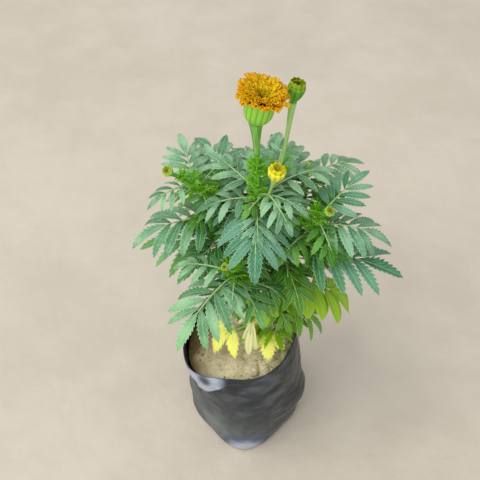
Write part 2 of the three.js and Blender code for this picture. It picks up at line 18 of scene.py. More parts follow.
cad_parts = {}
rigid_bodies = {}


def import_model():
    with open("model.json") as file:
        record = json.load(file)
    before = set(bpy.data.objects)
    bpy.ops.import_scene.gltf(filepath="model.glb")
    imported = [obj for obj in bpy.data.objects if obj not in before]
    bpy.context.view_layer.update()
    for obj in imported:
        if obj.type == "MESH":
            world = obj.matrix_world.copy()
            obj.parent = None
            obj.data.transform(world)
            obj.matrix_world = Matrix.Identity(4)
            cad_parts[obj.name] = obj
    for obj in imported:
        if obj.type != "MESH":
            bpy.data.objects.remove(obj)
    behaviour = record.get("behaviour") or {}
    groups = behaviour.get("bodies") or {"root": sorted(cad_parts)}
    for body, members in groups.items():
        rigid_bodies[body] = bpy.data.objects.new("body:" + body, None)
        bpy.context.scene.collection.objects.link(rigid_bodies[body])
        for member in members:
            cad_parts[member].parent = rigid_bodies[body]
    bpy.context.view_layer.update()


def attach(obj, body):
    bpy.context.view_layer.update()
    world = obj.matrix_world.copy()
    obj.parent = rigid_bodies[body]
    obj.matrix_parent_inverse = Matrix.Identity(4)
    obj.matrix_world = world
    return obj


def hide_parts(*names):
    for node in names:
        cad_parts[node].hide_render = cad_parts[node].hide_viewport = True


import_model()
LOG = logging.getLogger("marigold")
MM = 0.001
UP = np.array([0.0, 0.0, 1.0])
Colour = tuple[float, float, float]
Material = bpy.types.Material
Object = bpy.types.Object
Socket = bpy.types.NodeSocket
Node = bpy.types.Node
Inputs = dict[str | int, object]


class Draw:
    """A repeatable random draw, the same as the one that the frame's leaves and petals were made with."""

    TIMES = 1664525
    PLUS = 1013904223
    MODULUS = 2**32

    def __init__(self, seed: int) -> None:
        """Starts the draw.

        Args:
            seed: The first state.
        """
        self.state = seed

    def swing(self) -> float:
        """Returns a number between -1 and 1."""
        self.state = (self.state * self.TIMES + self.PLUS) % self.MODULUS
        return self.state / self.MODULUS * 2 - 1

    def between(self, low: float, high: float) -> float:
        """Returns a number between two limits."""
        return low + (high - low) * (self.swing() + 1) / 2


def heading(azimuth: float, pitch: float) -> np.ndarray:
    """Returns the unit vector at an azimuth and a pitch in degrees."""
    a, p = math.radians(azimuth), math.radians(pitch)
    return np.array([math.cos(a) * math.cos(p), math.sin(a) * math.cos(p), math.sin(p)])


def lerp(low: float, high: float, share: float) -> float:
    """Returns the number at a share of the way between two others."""
    return low + (high - low) * share


def along_z(direction: np.ndarray) -> np.ndarray:
    """Gives the shortest turn that brings +Z to a direction.

    Args:
        direction: A unit vector.

    Returns:
        The rotation as a 3 by 3 array.
    """
    return np.array(Vector(UP).rotation_difference(Vector(direction)).to_matrix())


def smooth_line(points: Sequence[Sequence[float]], t: np.ndarray) -> np.ndarray:
    """Follows a uniform Catmull-Rom curve through points.

    Args:
        points: What the curve passes through, of any dimension.
        t: Shares of the way along it, each span counting alike.

    Returns:
        The curve's points, a row for each share.
    """
    p = np.asarray(points, float)
    p = np.vstack([2 * p[0] - p[1], p, 2 * p[-1] - p[-2]])
    spans = len(p) - 3
    place = np.clip(np.asarray(t, float), 0, 1) * spans
    i = np.minimum(place.astype(int), spans - 1)
    w = (place - i)[:, None]
    a, b, c, d = p[i], p[i + 1], p[i + 2], p[i + 3]
    start, end = (c - a) / 2, (d - b) / 2
    ends = (2 * w**3 - 3 * w**2 + 1) * b + (3 * w**2 - 2 * w**3) * c
    return ends + (w**3 - 2 * w**2 + w) * start + (w**3 - w**2) * end


def turned_about_z(points: np.ndarray, azimuth: float) -> np.ndarray:
    """Turns points about +Z.

    Args:
        points: A row for each point.
        azimuth: The angle, in degrees.

    Returns:
        The turned points.
    """
    c, s = math.cos(math.radians(azimuth)), math.sin(math.radians(azimuth))
    return points @ np.array([[c, s, 0], [-s, c, 0], [0, 0, 1]])


def polar(points: np.ndarray) -> tuple[np.ndarray, np.ndarray]:
    """Returns how far points lie from the z axis, and at what angle about it."""
    return np.hypot(points[:, 0], points[:, 1]), np.arctan2(points[:, 1], points[:, 0])


def columns(*values: np.ndarray | float) -> np.ndarray:
    """Returns values as the columns of one array, with the single ones repeated down it."""
    return np.stack(np.broadcast_arrays(*values), axis=1)


def around(radius: np.ndarray, angle: np.ndarray, level: np.ndarray) -> np.ndarray:
    """Returns points at distances from the z axis, at angles about it and at levels."""
    return columns(radius * np.cos(angle), radius * np.sin(angle), level)


def off(angle: np.ndarray, azimuth: float) -> np.ndarray:
    """Returns how far angles are from an azimuth in degrees, between half a turn back and forward."""
    return (angle - math.radians(azimuth) + math.pi) % (2 * math.pi) - math.pi


def hump(away: np.ndarray, spread: float) -> np.ndarray:
    """Returns 1 where a distance is nothing, falling smoothly to nothing over a spread."""
    return np.exp(-((away / spread) ** 2))


def within(values: np.ndarray, low: float = 0.0, high: float = 1.0) -> np.ndarray:
    """Returns how far values are from a low to a high one, from 0 to 1 and never past them."""
    return np.clip((values - low) / (high - low), 0, 1)


def joined(parts: Sequence[np.ndarray], kind: type = np.float32) -> np.ndarray:
    """Returns arrays as a single flat one."""
    return np.concatenate(parts).astype(kind).ravel()


@dataclass
class Pattern:
    """A small mesh that was modelled once, held as arrays, to be copied into meshes of its own."""

    corners: np.ndarray
    loops: np.ndarray
    sizes: np.ndarray
    uvs: np.ndarray

    @classmethod
    def take(cls, obj: Object) -> "Pattern":
        """Reads a modelled object and removes it.

        Args:
            obj: A mesh object with a UV map.

        Returns:
            Its mesh as a pattern.
        """
        mesh = obj.data
        corners = np.empty(len(mesh.vertices) * 3)
        loops = np.empty(len(mesh.loops), np.int32)
        sizes = np.empty(len(mesh.polygons), np.int32)
        uvs = np.zeros(len(mesh.loops) * 2)
        mesh.vertices.foreach_get("co", corners)
        mesh.loops.foreach_get("vertex_index", loops)
        mesh.polygons.foreach_get("loop_total", sizes)
        if mesh.uv_layers:
            mesh.uv_layers.active.data.foreach_get("uv", uvs)
        bpy.data.objects.remove(obj)
        bpy.data.meshes.remove(mesh)
        return cls(corners.reshape(-1, 3), loops, sizes, uvs.reshape(-1, 2))


@dataclass
class Bunch:
    """Placed copies of patterns, which become one mesh."""

    corners: list[np.ndarray] = field(default_factory=list)
    growth: list[np.ndarray] = field(default_factory=list)
    loops: list[np.ndarray] = field(default_factory=list)
    sizes: list[np.ndarray] = field(default_factory=list)
    uvs: list[np.ndarray] = field(default_factory=list)
    finish: list[np.ndarray] = field(default_factory=list)
    count: int = 0

    def add(self, pattern: Pattern, corners: np.ndarray, growth: np.ndarray, finish: int = 0) -> None:
        """Adds a copy of a pattern.

        Args:
            pattern: What is copied.
            corners: Where the copy's corners lie.
            growth: Three values at each corner, which its material reads, or one row for all of them.
            finish: The number of its material in the piece.
        """
        self.corners.append(corners)
        self.growth.append(np.broadcast_to(growth, corners.shape))
        self.loops.append(pattern.loops + self.count)
        self.sizes.append(pattern.sizes)
        self.uvs.append(pattern.uvs)
        self.finish.append(np.full(len(pattern.sizes), finish, np.int32))
        self.count += len(corners)

    def build(self, name: str, finishes: Sequence[Material]) -> Object:
        """Makes the piece.

        Args:
            name: The piece's name.
            finishes: Its materials, in the order of their numbers.

        Returns:
            The piece, linked to the scene.
        """
        corners, sizes = joined(self.corners), joined(self.sizes, np.int32)
        loops = joined(self.loops, np.int32)
        starts = np.cumsum(sizes) - sizes
        mesh = bpy.data.meshes.new(name)
        mesh.vertices.add(self.count)
        mesh.vertices.foreach_set("co", corners)
        mesh.loops.add(len(loops))
        mesh.loops.foreach_set("vertex_index", loops)
        mesh.polygons.add(len(sizes))
        mesh.polygons.foreach_set("loop_start", starts.astype(np.int32))
        mesh.polygons.foreach_set("material_index", joined(self.finish, np.int32))
        mesh.uv_layers.new(name="UVMap").data.foreach_set("uv", joined(self.uvs))
        mesh.update(calc_edges=True)
        values = mesh.attributes.new("growth", "FLOAT_VECTOR", "POINT")
        values.data.foreach_set("vector", joined(self.growth))
        for material in finishes:
            mesh.materials.append(material)
        mesh.shade_smooth()
        piece = bpy.data.objects.new(name, mesh)
        bpy.context.scene.collection.objects.link(piece)
        return piece


class Bench:
    """Blender's modelling operators used as by hand, on corners that are picked in code."""

    @staticmethod
    def clear() -> None:
        """Deselects every object."""
        for obj in bpy.context.view_layer.objects:
            obj.select_set(False)

    @staticmethod
    def edit() -> Object:
        """Opens the new primitive for editing.

        Returns:
            The object, in edit mode.
        """
        obj = bpy.context.view_layer.objects.active
        bpy.ops.object.mode_set(mode="EDIT")
        bpy.ops.mesh.select_mode(type="VERT")
        return obj

    @staticmethod
    def pick(obj: Object, wanted: Callable[[Vector], bool]) -> None:
        """Selects in edit mode the corners that a test allows.

        Args:
            obj: The object being edited.
            wanted: Tells by a corner's place whether it is selected.
        """
        bpy.ops.mesh.select_all(action="DESELECT")
        bpy.ops.object.mode_set(mode="OBJECT")
        for vertex in obj.data.vertices:
            vertex.select = wanted(vertex.co)
        bpy.ops.object.mode_set(mode="EDIT")

    @staticmethod
    def grid(columns: int, rows: int) -> Object:
        """Adds a grid from -1 to 1 both ways and opens it for editing.

        Args:
            columns: Its faces along x.
            rows: Its faces along y.

        Returns:
            The grid, in edit mode.
        """
        Bench.clear()
        bpy.ops.mesh.primitive_grid_add(x_subdivisions=columns, y_subdivisions=rows, size=2, calc_uvs=True)
        return Bench.edit()

    @staticmethod
    def circle(sides: int, radius: float, level: float = 0.0) -> None:
        """Adds a filled circle about z, opens it for editing and selects its edge.

        Args:
            sides: Its number of sides.
            radius: Its radius.
            level: Its height.
        """
        Bench.clear()
        bpy.ops.mesh.primitive_circle_add(
            vertices=sides, radius=radius, fill_type="TRIFAN", location=(0, 0, 0), calc_uvs=True
        )
        obj = Bench.edit()
        bpy.ops.transform.translate(value=(0, 0, level))
        Bench.pick(obj, lambda co: math.hypot(co.x, co.y) > 0.5 * radius)

    @staticmethod
    def finish(modifiers: Sequence[tuple[str, dict[str, object]]] = ()) -> Object:
        """Leaves edit mode and applies modifiers.

        Args:
            modifiers: Each modifier's type and settings.

        Returns:
            The finished object.
        """
        bpy.ops.object.mode_set(mode="OBJECT")
        obj = bpy.context.view_layer.objects.active
        for kind, settings in modifiers:
            modifier = obj.modifiers.new(kind.title(), kind)
            for key, value in settings.items():
                setattr(modifier, key, value)
            bpy.ops.object.modifier_apply(modifier=modifier.name)
        return obj


class PatternShop:
    """Models each repeated shape once, at unit size."""

    NEAR = 0.3

    @staticmethod
    def blade(stations: Sequence[tuple[float, float, float]], rows: int, notch: float = 0.0) -> Pattern:
        """Models a blade along x from 0 to 1, shaped column by column, with its two faces 2 apart.

        Args:
            stations: Each column's place along x, half width, and how many columns its edges lead by.
            rows: Faces across the blade.
            notch: How many columns the middle of its end is cut back.

        Returns:
            The blade, whose z is -1 on its underside and 1 on its top.
        """
        last = len(stations) - 1
        obj = Bench.grid(last, rows)
        bpy.ops.transform.resize(value=(last / 2, 1, 1), center_override=(-1, 0, 0))
        bpy.ops.transform.translate(value=(1, 0, 0))
        for i, (_, width, _) in enumerate(stations):
            Bench.pick(obj, lambda co, x=i: abs(co.x - x) < PatternShop.NEAR)
            bpy.ops.transform.resize(value=(1, width, 1), center_override=(i, 0, 0))
        for i, (_, width, lead) in reversed(list(enumerate(stations))):
            if lead:
                place, least = i, 0.9 * width
                Bench.pick(obj, lambda co: abs(co.x - place) < PatternShop.NEAR and abs(co.y) > least)
                bpy.ops.transform.translate(value=(lead, 0, 0))
        if notch:
            Bench.pick(obj, lambda co: co.x > last - PatternShop.NEAR and abs(co.y) < 0.01)
            bpy.ops.transform.translate(value=(-notch, 0, 0))
        pattern = Pattern.take(Bench.finish([("SOLIDIFY", {"thickness": 2, "offset": 0})]))
        places = [place for place, _, _ in stations]
        pattern.corners[:, 0] = np.interp(pattern.corners[:, 0], np.arange(last + 1), places)
        return pattern

    @staticmethod
    def rod(sides: int, rings: int) -> Pattern:
        """Models a closed rod along x from 0 to 1, of radius 1.

        Args:
            sides: Faces around it.
            rings: Faces along it.

        Returns:
            The rod.
        """
        Bench.clear()
        bpy.ops.mesh.primitive_cylinder_add(
            vertices=sides, radius=1, depth=1, end_fill_type="TRIFAN", location=(0, 0, 0.5), calc_uvs=True
        )
        Bench.edit()
        for i in range(1, rings):
            bpy.ops.mesh.select_all(action="SELECT")
            bpy.ops.mesh.bisect(plane_co=(0, 0, i / rings), plane_no=(0, 0, 1))
        rod = Pattern.take(Bench.finish())
        rod.corners = np.roll(rod.corners + [0, 0, 0.5], 1, axis=1)
        return rod

    @staticmethod
    def ball(detail: int) -> Pattern:
        """Models a faceted ball of radius 1.

        Args:
            detail: How finely it is divided.

        Returns:
            The ball.
        """
        Bench.clear()
        bpy.ops.mesh.primitive_ico_sphere_add(subdivisions=detail, radius=1, calc_uvs=True)
        return Pattern.take(bpy.context.view_layer.objects.active)

    @staticmethod
    def turned(profile: Sequence[tuple[float, float]], sides: int) -> Pattern:
        """Turns a closed shape about z by extruding a circle from ring to ring.

        Args:
            profile: The height and radius of each ring. The first and the last are closed at their middles.
            sides: Faces around it.

        Returns:
            The shape.
        """
        height, radius = profile[0]
        Bench.circle(sides, radius, height)
        for z, r in profile[1:]:
            bpy.ops.mesh.extrude_edges_move(TRANSFORM_OT_translate={"value": (0, 0, z - height)})
            bpy.ops.transform.resize(value=(r / radius, r / radius, 1), center_override=(0, 0, z))
            height, radius = z, r
        bpy.ops.mesh.extrude_edges_move()
        bpy.ops.mesh.merge(type="CENTER")
        bpy.ops.mesh.select_all(action="SELECT")
        bpy.ops.mesh.normals_make_consistent(inside=False)
        return Pattern.take(Bench.finish())


@dataclass(frozen=True)
class Stem:
    """One stem, in millimetres, with the points that it passes through and its radii at foot and tip."""

    points: tuple[tuple[float, float, float], ...]
    radii: tuple[float, float]
    parent: str = ""
    at: float = 0.0


STEMS = {
    "main": Stem(
        ((19.6, 0, 64), (20.5, 2, 120), (16, 2, 180), (10.5, 0, 236), (9.8, 0, 284), (8.4, 0, 325)), (3.3, 2)
    ),
    "left": Stem(((-8, 8, 214), (-25, 15, 238), (-41, 19, 254), (-54, 19, 262)), (1.9, 1.1), "main", 0.52),
    "right": Stem(((30, -4, 196), (43, -10, 218), (53, -14, 246), (60, -16, 254)), (1.9, 1.1), "main", 0.46),
    "front": Stem(((10, -20, 182), (-3, -36, 206), (-12.5, -44, 226)), (1.8, 1.1), "main", 0.4),
    "tall": Stem(((20, 5, 258), (28.4, 9, 288), (34, 14, 332)), (2, 1.8), "main", 0.62),
    "near": Stem(((16.4, -6, 260), (19.4, -10, 271.5), (21.6, -13, 283)), (1.7, 1.5), "main", 0.64),
    "back_left": Stem(((2, 22, 196), (-6, 40, 216), (-6, 52, 238)), (1.8, 1.1), "main", 0.42),
    "back_right": Stem(((30, 16, 208), (42, 30, 226), (50, 38, 248)), (1.8, 1.1), "main", 0.5),
}


@dataclass(frozen=True)
class Skeleton:
    """The stems' lines and thicknesses, which everything on the plant is placed by, in millimetres."""

    stems: dict[str, Stem]
    clearance: float = 0.3
    least_across: float = 0.12
    stalk_from: float = 0.82
    stalk_power: float = 1.4
    stalk_radius: float = 4.4
    step: float = 0.0001

    def line(self, name: str) -> list[Sequence[float]]:
        """Finds what a stem passes through.

        Args:
            name: The stem.

        Returns:
            Its points, from the middle of the stem that it grows from.
        """
        stem = self.stems[name]
        start = [self.point(stem.parent, stem.at)] if stem.parent else []
        return [*start, *stem.points]

    def points(self, name: str, t: np.ndarray) -> np.ndarray:
        """Returns the points at shares of the way along a stem."""
        return smooth_line(self.line(name), t)

    def point(self, name: str, t: float) -> np.ndarray:
        """Returns the point at a share of the way along a stem."""
        return self.points(name, np.array([t]))[0]

    def direction(self, name: str, t: float) -> np.ndarray:
        """Returns the unit direction of a stem towards its tip."""
        foot, tip = self.points(name, np.clip([t - self.step, t + self.step], 0, 1))
        return (tip - foot) / np.linalg.norm(tip - foot)

    def radius(self, name: str, t: np.ndarray) -> np.ndarray:
        """Gives a stem's radii. The main stem swells into the stalk that carries the bloom.

        Args:
            name: The stem.
            t: Shares of the way along it.

        Returns:
            The radius at each share.
        """
        plain = lerp(*self.stems[name].radii, np.asarray(t, float))
        if name != "main":
            return plain
        return lerp(plain, self.stalk_radius, within(t, self.stalk_from) ** self.stalk_power)

    def stand_off(self, name: str, t: float, direction: np.ndarray, half_width: float) -> float:
        """Gives how far from a stem's line something starts.

        Args:
            name: The stem.
            t: The share of the way along it.
            direction: The unit direction in which the thing grows.
            half_width: Half the thing's width at its foot.

        Returns:
            The distance along the direction that keeps it clear of the stem's surface.
        """
        lengthwise = abs(float(direction @ self.direction(name, t)))
        across = math.sqrt(max(1 - lengthwise**2, self.least_across))
        return (float(self.radius(name, t)) + self.clearance + half_width * lengthwise) / across

    def head_seat(self, name: str, facing: np.ndarray) -> np.ndarray:
        """Gives where a head sits on the end of its stem.

        Args:
            name: The stem.
            facing: The unit direction that the head faces.

        Returns:
            The seat, in millimetres.
        """
        tilt = math.acos(float(np.clip(facing @ self.direction(name, 1), -1, 1)))
        return self.point(name, 1) + facing * (self.clearance + float(self.radius(name, 1)) * math.sin(tilt))


SKELETON = Skeleton(STEMS)


@dataclass(frozen=True)
class Bend:
    """How a flat blade bends: evenly down along its length, and down to both sides of its middle line."""

    pitch: float
    turn: float
    length: float
    side_rate: float

    def place(self, u: np.ndarray, v: np.ndarray, h: np.ndarray) -> np.ndarray:
        """Places points of the blade.

        Args:
            u: How far along the blade each is.
            v: How far to its left.
            h: How far above its surface.

        Returns:
            The points, with x along the blade and z up.
        """
        start = math.radians(self.pitch)
        rate = math.radians(self.turn) / self.length
        now = start - rate * u
        along = (math.sin(start) - np.sin(now)) / rate
        up = (np.cos(now) - math.cos(start)) / rate
        sink = self.side_rate * v
        aside = np.sin(sink) / self.side_rate + h * np.sin(sink)
        drop = (1 - np.cos(sink)) / self.side_rate - h * np.cos(sink)
        return columns(along + drop * np.sin(now), aside, up - drop * np.cos(now))


class Habit(Enum):
    """What state a leaf is in, with the record's slot for it where the frame has such leaves."""

    GREEN = "leaf"
    SHADED = "leaf_shaded"
    OLD = "leaf_old"
    YELLOW = "leaf_yellow"
    DRIED = "leaf_dried"
    YOUNG = "leaf_young"


@dataclass(frozen=True)
class Leaf:
    """A compound leaf: where it grows, how it bends, and its leaflets. Its length is in millimetres."""

    stem: str
    at: float
    azimuth: float
    pitch: float
    turn: float
    length: float
    pairs: int = 4
    sag: float = 28
    habit: Habit = Habit.GREEN
    tone: float | None = None
    ease: float = 0.0


LEAVES = {
    "leaf_front": Leaf("main", 0.64, -92, 22, 62, 72, tone=0.1),
    "leaf_back": Leaf("main", 0.66, 76, 28, 48, 76, tone=0.4, ease=0.8),
    "leaf_centre_left": Leaf("main", 0.6, 184, 30, 60, 40, 3, tone=0.05),
    "leaf_centre_right": Leaf("main", 0.59, -36, 30, 60, 36, 3, tone=0.05),
    "leaf_upper_right": Leaf("tall", 0.36, 14, 32, 50, 48, 3),
    "leaf_upper_left": Leaf("main", 0.7, 140, 38, 45, 46, 3, tone=0.45, ease=0.6),
    "leaf_left": Leaf("left", 0.36, 196, 22, 62, 76, tone=0.5),
    "leaf_left_upper": Leaf("left", 0.66, 107, 38, 44, 49, sag=24, tone=0.5, ease=0.9),
    "leaf_left_back": Leaf("left", 0.5, 78, 47, 50, 58, sag=24, tone=0.45, ease=0.9),
    "leaf_left_low": Leaf("left", 0.2, 218, 6, 46, 62, tone=0.8),
    "leaf_left_far": Leaf("back_left", 0.22, 174, 12, 40, 92),
    "leaf_right_upper": Leaf("right", 0.8, 40, 44, 46, 51, sag=24, tone=0.22, ease=0.8),
    "leaf_right": Leaf("right", 0.68, -14, 22, 56, 62, tone=0.3),
    "leaf_right_front": Leaf("right", 0.42, -17, 12, 30, 83, sag=34, tone=0.12),
    "leaf_right_inner": Leaf("right", 0.6, 115, 45, 50, 40, 3, 24),
    "leaf_right_far": Leaf("right", 0.2, 20, 5, 50, 84),
    "leaf_low_left": Leaf("front", 0.8, -128, 10, 60, 72, tone=0.6),
    "leaf_low_front": Leaf("front", 0.7, -62, 0, 45, 44, 3, tone=0.85),
    "leaf_front_inner": Leaf("front", 0.9, 170, 20, 50, 44, 3),
    "leaf_back_left": Leaf("back_left", 0.85, 118, 25, 60, 70, ease=0.6),
    "leaf_back_far": Leaf("back_left", 0.8, 75, 20, 60, 66),
    "leaf_back_low": Leaf("back_left", 0.5, 134, 10, 46, 80),
    "leaf_back_right": Leaf("back_right", 0.9, 24, 26, 56, 52),
    "leaf_rear": Leaf("back_right", 0.85, 114, 34, 60, 58, ease=0.7),
    "leaf_rear_low": Leaf("back_right", 0.5, 62, 0, 50, 84),
    "leaf_left_inner": Leaf("left", 0.72, -148, 12, 50, 38, 3, 24),
    "leaf_front_upper": Leaf("near", 0.5, -64, 8, 50, 38, 3, 24),
    "leaf_top_back": Leaf("tall", 0.46, 78, 38, 55, 38, 3, 24, ease=0.9),
    "leaf_right_under": Leaf("right", 0.26, -72, 0, 52, 50, 3),
    "leaf_stem_far": Leaf("main", 0.36, 40, -5, 55, 62, 3),
    "leaf_stem_right": Leaf("main", 0.24, 34, -8, 55, 50, 3),
    "leaf_stem_front": Leaf("main", 0.31, -54, -14, 50, 42, 3),
    "leaf_stem_back": Leaf("main", 0.33, 106, 0, 60, 78),
    "leaf_stem_left": Leaf("main", 0.3, 150, -5, 60, 64, 3),
    "leaf_stem_low": Leaf("main", 0.27, -12, 0, 70, 60, 3),
    "leaf_old_right": Leaf("main", 0.36, -7, 8, 74, 92, habit=Habit.OLD),
    "leaf_old_front": Leaf("main", 0.38, -90, -10, 45, 48, 3, habit=Habit.OLD),
    "leaf_yellow": Leaf("main", 0.22, -90, 8, 65, 40, 2, habit=Habit.YELLOW),
    "leaf_yellow_left": Leaf("main", 0.2, -158, 10, 70, 54, 2, habit=Habit.YELLOW),
    "leaf_dried": Leaf("main", 0.37, -111, -38, 48, 70, 2, habit=Habit.DRIED),
}


@dataclass
class LeafSite:
    """A leaf that is being grown: how it bends, where it starts, and its tone."""

    bunch: Bunch
    bend: Bend
    azimuth: float
    start: np.ndarray
    tone: float

    def put(self, pattern: Pattern, flat: np.ndarray, tint: float, finish: int) -> None:
        """Adds a copy of a pattern to the leaf.

        Args:
            pattern: What is copied.
            flat: Where its corners lie on the leaf before it bends: along it, to its left and above it.
            tint: The copy's own tint.
            finish: The number of its material.
        """
        points = turned_about_z(self.bend.place(*flat.T), self.azimuth) + self.start
        growth = columns(tint, self.tone, (pattern.corners[:, 2] + 1) / 2)
        self.bunch.add(pattern, points * MM, growth, finish)


@dataclass(frozen=True)
class Leaflets:
    """How a leaf's state shapes its leaflets: their pattern, and factors of their size and angle."""

    pattern: str
    reach: float = 1.0
    width: float = 1.0
    spread: float = 1.0


LEAFLETS = {
    Habit.GREEN: Leaflets("fine"),
    Habit.SHADED: Leaflets("coarse"),
    Habit.OLD: Leaflets("round", 0.76, 1.5, 1.15),
    Habit.YELLOW: Leaflets("coarse", 1.2, 1.6, 1.3),
    Habit.DRIED: Leaflets("round", width=0.6, spread=0.3),
    Habit.YOUNG: Leaflets("narrow", width=0.6),
}


@dataclass
class LeafMaker:
    """Grows compound leaves from patterns. Shares are of a leaf's length, and lengths in millimetres."""

    first_pair: float = 0.17
    last_pair: float = 0.5
    end_leaflet: float = 0.56
    leaflet_reach: float = 0.48
    leaflet_width: float = 0.25
    end_width: float = 1.3
    swell: float = 0.18
    swell_span: tuple[float, float] = (0.2, 0.9)
    reach_chance: float = 0.05
    angle_chance: float = 3.0
    angles: tuple[float, float] = (68.0, 40.0)
    rib_half_width: float = 0.75
    rib_taper: float = 0.48
    rib_past: float = 0.12
    foot_aside: float = 0.6
    rib_tint: float = 0.5
    half_thickness: tuple[float, float] = (0.2125, 0.1275)
    side_share: float = 0.4
    fold: float = 0.42
    unfold: float = 0.4
    fold_chance: float = 0.3
    droop: float = 0.11
    droop_chance: float = 0.09
    tooth_lead: float = 1.1
    tooth_step: float = 0.035
    notch: float = 0.7
    ripple: float = 0.14
    ripple_waves: float = 9.0
    twist: float = 0.14
    basal_step: float = 0.8
    basal_angle: float = 82.0
    basal_chance: float = 4.0
    basal_reach: float = 0.17
    tones: tuple[float, float] = (0.15, 0.9)

    def __post_init__(self) -> None:
        """Models the leaflets, station by station, and the rib."""
        fine = [(0.17, 0.74), (0.27, 0.98), (0.37, 1.12), (0.47, 1.14), (0.57, 1.08), (0.67, 0.96)]
        fine += [(0.77, 0.78), (0.87, 0.54)]
        coarse = [(0.18, 0.8), (0.34, 1.16), (0.5, 1.2), (0.66, 0.98), (0.81, 0.66)]
        rounded = [(0.1, 0.42, 0), (0.25, 0.84, 0), (0.42, 1.06, 0.2), (0.6, 1.12, 0.2), (0.76, 1.0, 0.2)]
        blades = {
            "fine": ([(0, 0.12, 0), (0.1, 0.34, 0), *self.teeth(fine), (0.94, 0.2, 0), (1, 0.02, 0)], 4),
            "coarse": ([(0, 0.14, 0), *self.teeth(coarse), (0.93, 0.2, 0), (1, 0.02, 0)], 2),
            "round": ([(0, 0.14, 0), *rounded, (0.89, 0.68, 0), (0.97, 0.32, 0), (1, 0.08, 0)], 4),
            "narrow": ([(0, 0.3, 0), (0.3, 0.8, 0), (0.7, 0.7, 0), (1, 0.05, 0)], 2),
        }
        self.patterns = {name: PatternShop.blade(*blade) for name, blade in blades.items()}
        self.rib = PatternShop.rod(6, 10)

    def teeth(self, tips: Sequence[tuple[float, float]]) -> list[tuple[float, float, float]]:
        """Gives the stations of a toothed edge.

        Args:
            tips: Each tooth's place along the leaflet and its half width there.

        Returns:
            The stations of the teeth, which point forward, and of the notches after them.
        """
        rows = []
        for s, width in tips:
            rows += [(s, width, self.tooth_lead), (s + self.tooth_step, width * self.notch, 0)]
        return rows

    def grow(self, bunch: Bunch, leaf: Leaf, draw: Draw, extra: Draw) -> None:
        """Grows a leaf with its rib.

        Args:
            bunch: What the leaf is added to: its blades as finish 0 and its rib as finish 1.
            leaf: The leaf.
            draw: The draw of the leaflets' lengths and angles.
            extra: The draw of their droop, fold and colour.
        """
        direction = heading(leaf.azimuth, leaf.pitch)
        gap = SKELETON.stand_off(leaf.stem, leaf.at, direction, self.rib_half_width)
        start = SKELETON.point(leaf.stem, leaf.at) + direction * gap
        pitch, turn = leaf.pitch - leaf.ease * leaf.turn / 2, (1 - leaf.ease) * leaf.turn
        bend = Bend(pitch, turn, leaf.length, math.radians(leaf.sag) / (self.side_share * leaf.length))
        tone = extra.between(*self.tones) if leaf.tone is None else leaf.tone
        site = LeafSite(bunch, bend, leaf.azimuth, start, tone)
        kind = LEAFLETS[leaf.habit]
        pattern = self.patterns[kind.pattern]
        width = self.leaflet_width * kind.width
        step = (self.last_pair - self.first_pair) / max(leaf.pairs - 1, 1)
        basal = (self.first_pair - self.basal_step * step) * leaf.length
        if leaf.habit is not Habit.YOUNG:
            for side in (1, -1):
                angle = kind.spread * math.radians(self.basal_angle + self.basal_chance * extra.swing())
                reach = leaf.length * self.basal_reach
                self.leaflet(site, pattern, (basal, side), side * angle, reach, width, extra)
        for i in range(leaf.pairs):
            share = i / max(leaf.pairs - 1, 1)
            root = leaf.length * lerp(self.first_pair, self.last_pair, share)
            wave = 1 - self.swell * (1 - math.sin(math.pi * lerp(*self.swell_span, share)))
            for side in (1, -1):
                reach = leaf.length * self.leaflet_reach * (wave + self.reach_chance * draw.swing())
                reach *= kind.reach
                angle = lerp(*self.angles, share) + self.angle_chance * draw.swing()
                angle = side * kind.spread * math.radians(angle)
                self.leaflet(site, pattern, (root, side), angle, reach, width, extra)
        root = leaf.length * self.end_leaflet
        reach = (leaf.length - root) * kind.reach
        self.leaflet(site, pattern, (root, 0), 0.0, reach, width * self.end_width, extra)
        s, y, z = self.rib.corners.T
        u = -gap + s * (root + self.rib_past * leaf.length + gap)
        radius = self.rib_half_width * (1 - self.rib_taper * within(u, 0, leaf.length))
        site.put(self.rib, columns(u, radius * y, radius * z), self.rib_tint, 1)

    def leaflet(
        self, site: LeafSite, pattern: Pattern, root: tuple[float, float],
        angle: float, reach: float, share: float, extra: Draw,
    ) -> None:
        """Adds a leaflet.

        Args:
            site: The leaf that it belongs to.
            pattern: Its shape.
            root: How far along the rib it grows, and on which side.
            angle: Its angle to the rib, in radians.
            reach: Its length.
            share: Its width as a share of its length.
            extra: The draw of its droop, fold, twist and tint.
        """
        s, y, face = pattern.corners.T
        half_width = reach * share / 2
        along, aside = s * reach, y * half_width
        c, d = math.cos(angle), math.sin(angle)
        ripple = self.ripple * extra.swing() * np.sin(self.ripple_waves * s + 3 * extra.swing()) * y
        fold = self.fold * (1 + self.fold_chance * extra.swing()) * np.abs(y) * (1 - self.unfold * s)
        droop = reach * (self.droop + self.droop_chance * extra.swing()) * s**2
        twist = self.twist * extra.swing() * aside * s
        half = lerp(*self.half_thickness, np.abs(y))
        u = root[0] + along * c - aside * d
        v = root[1] * self.rib_half_width * self.foot_aside + along * d + aside * c
        h = half_width * (fold + ripple) - droop + twist + face * half
        site.put(pattern, columns(u, v, h), extra.between(0, 1), 0)


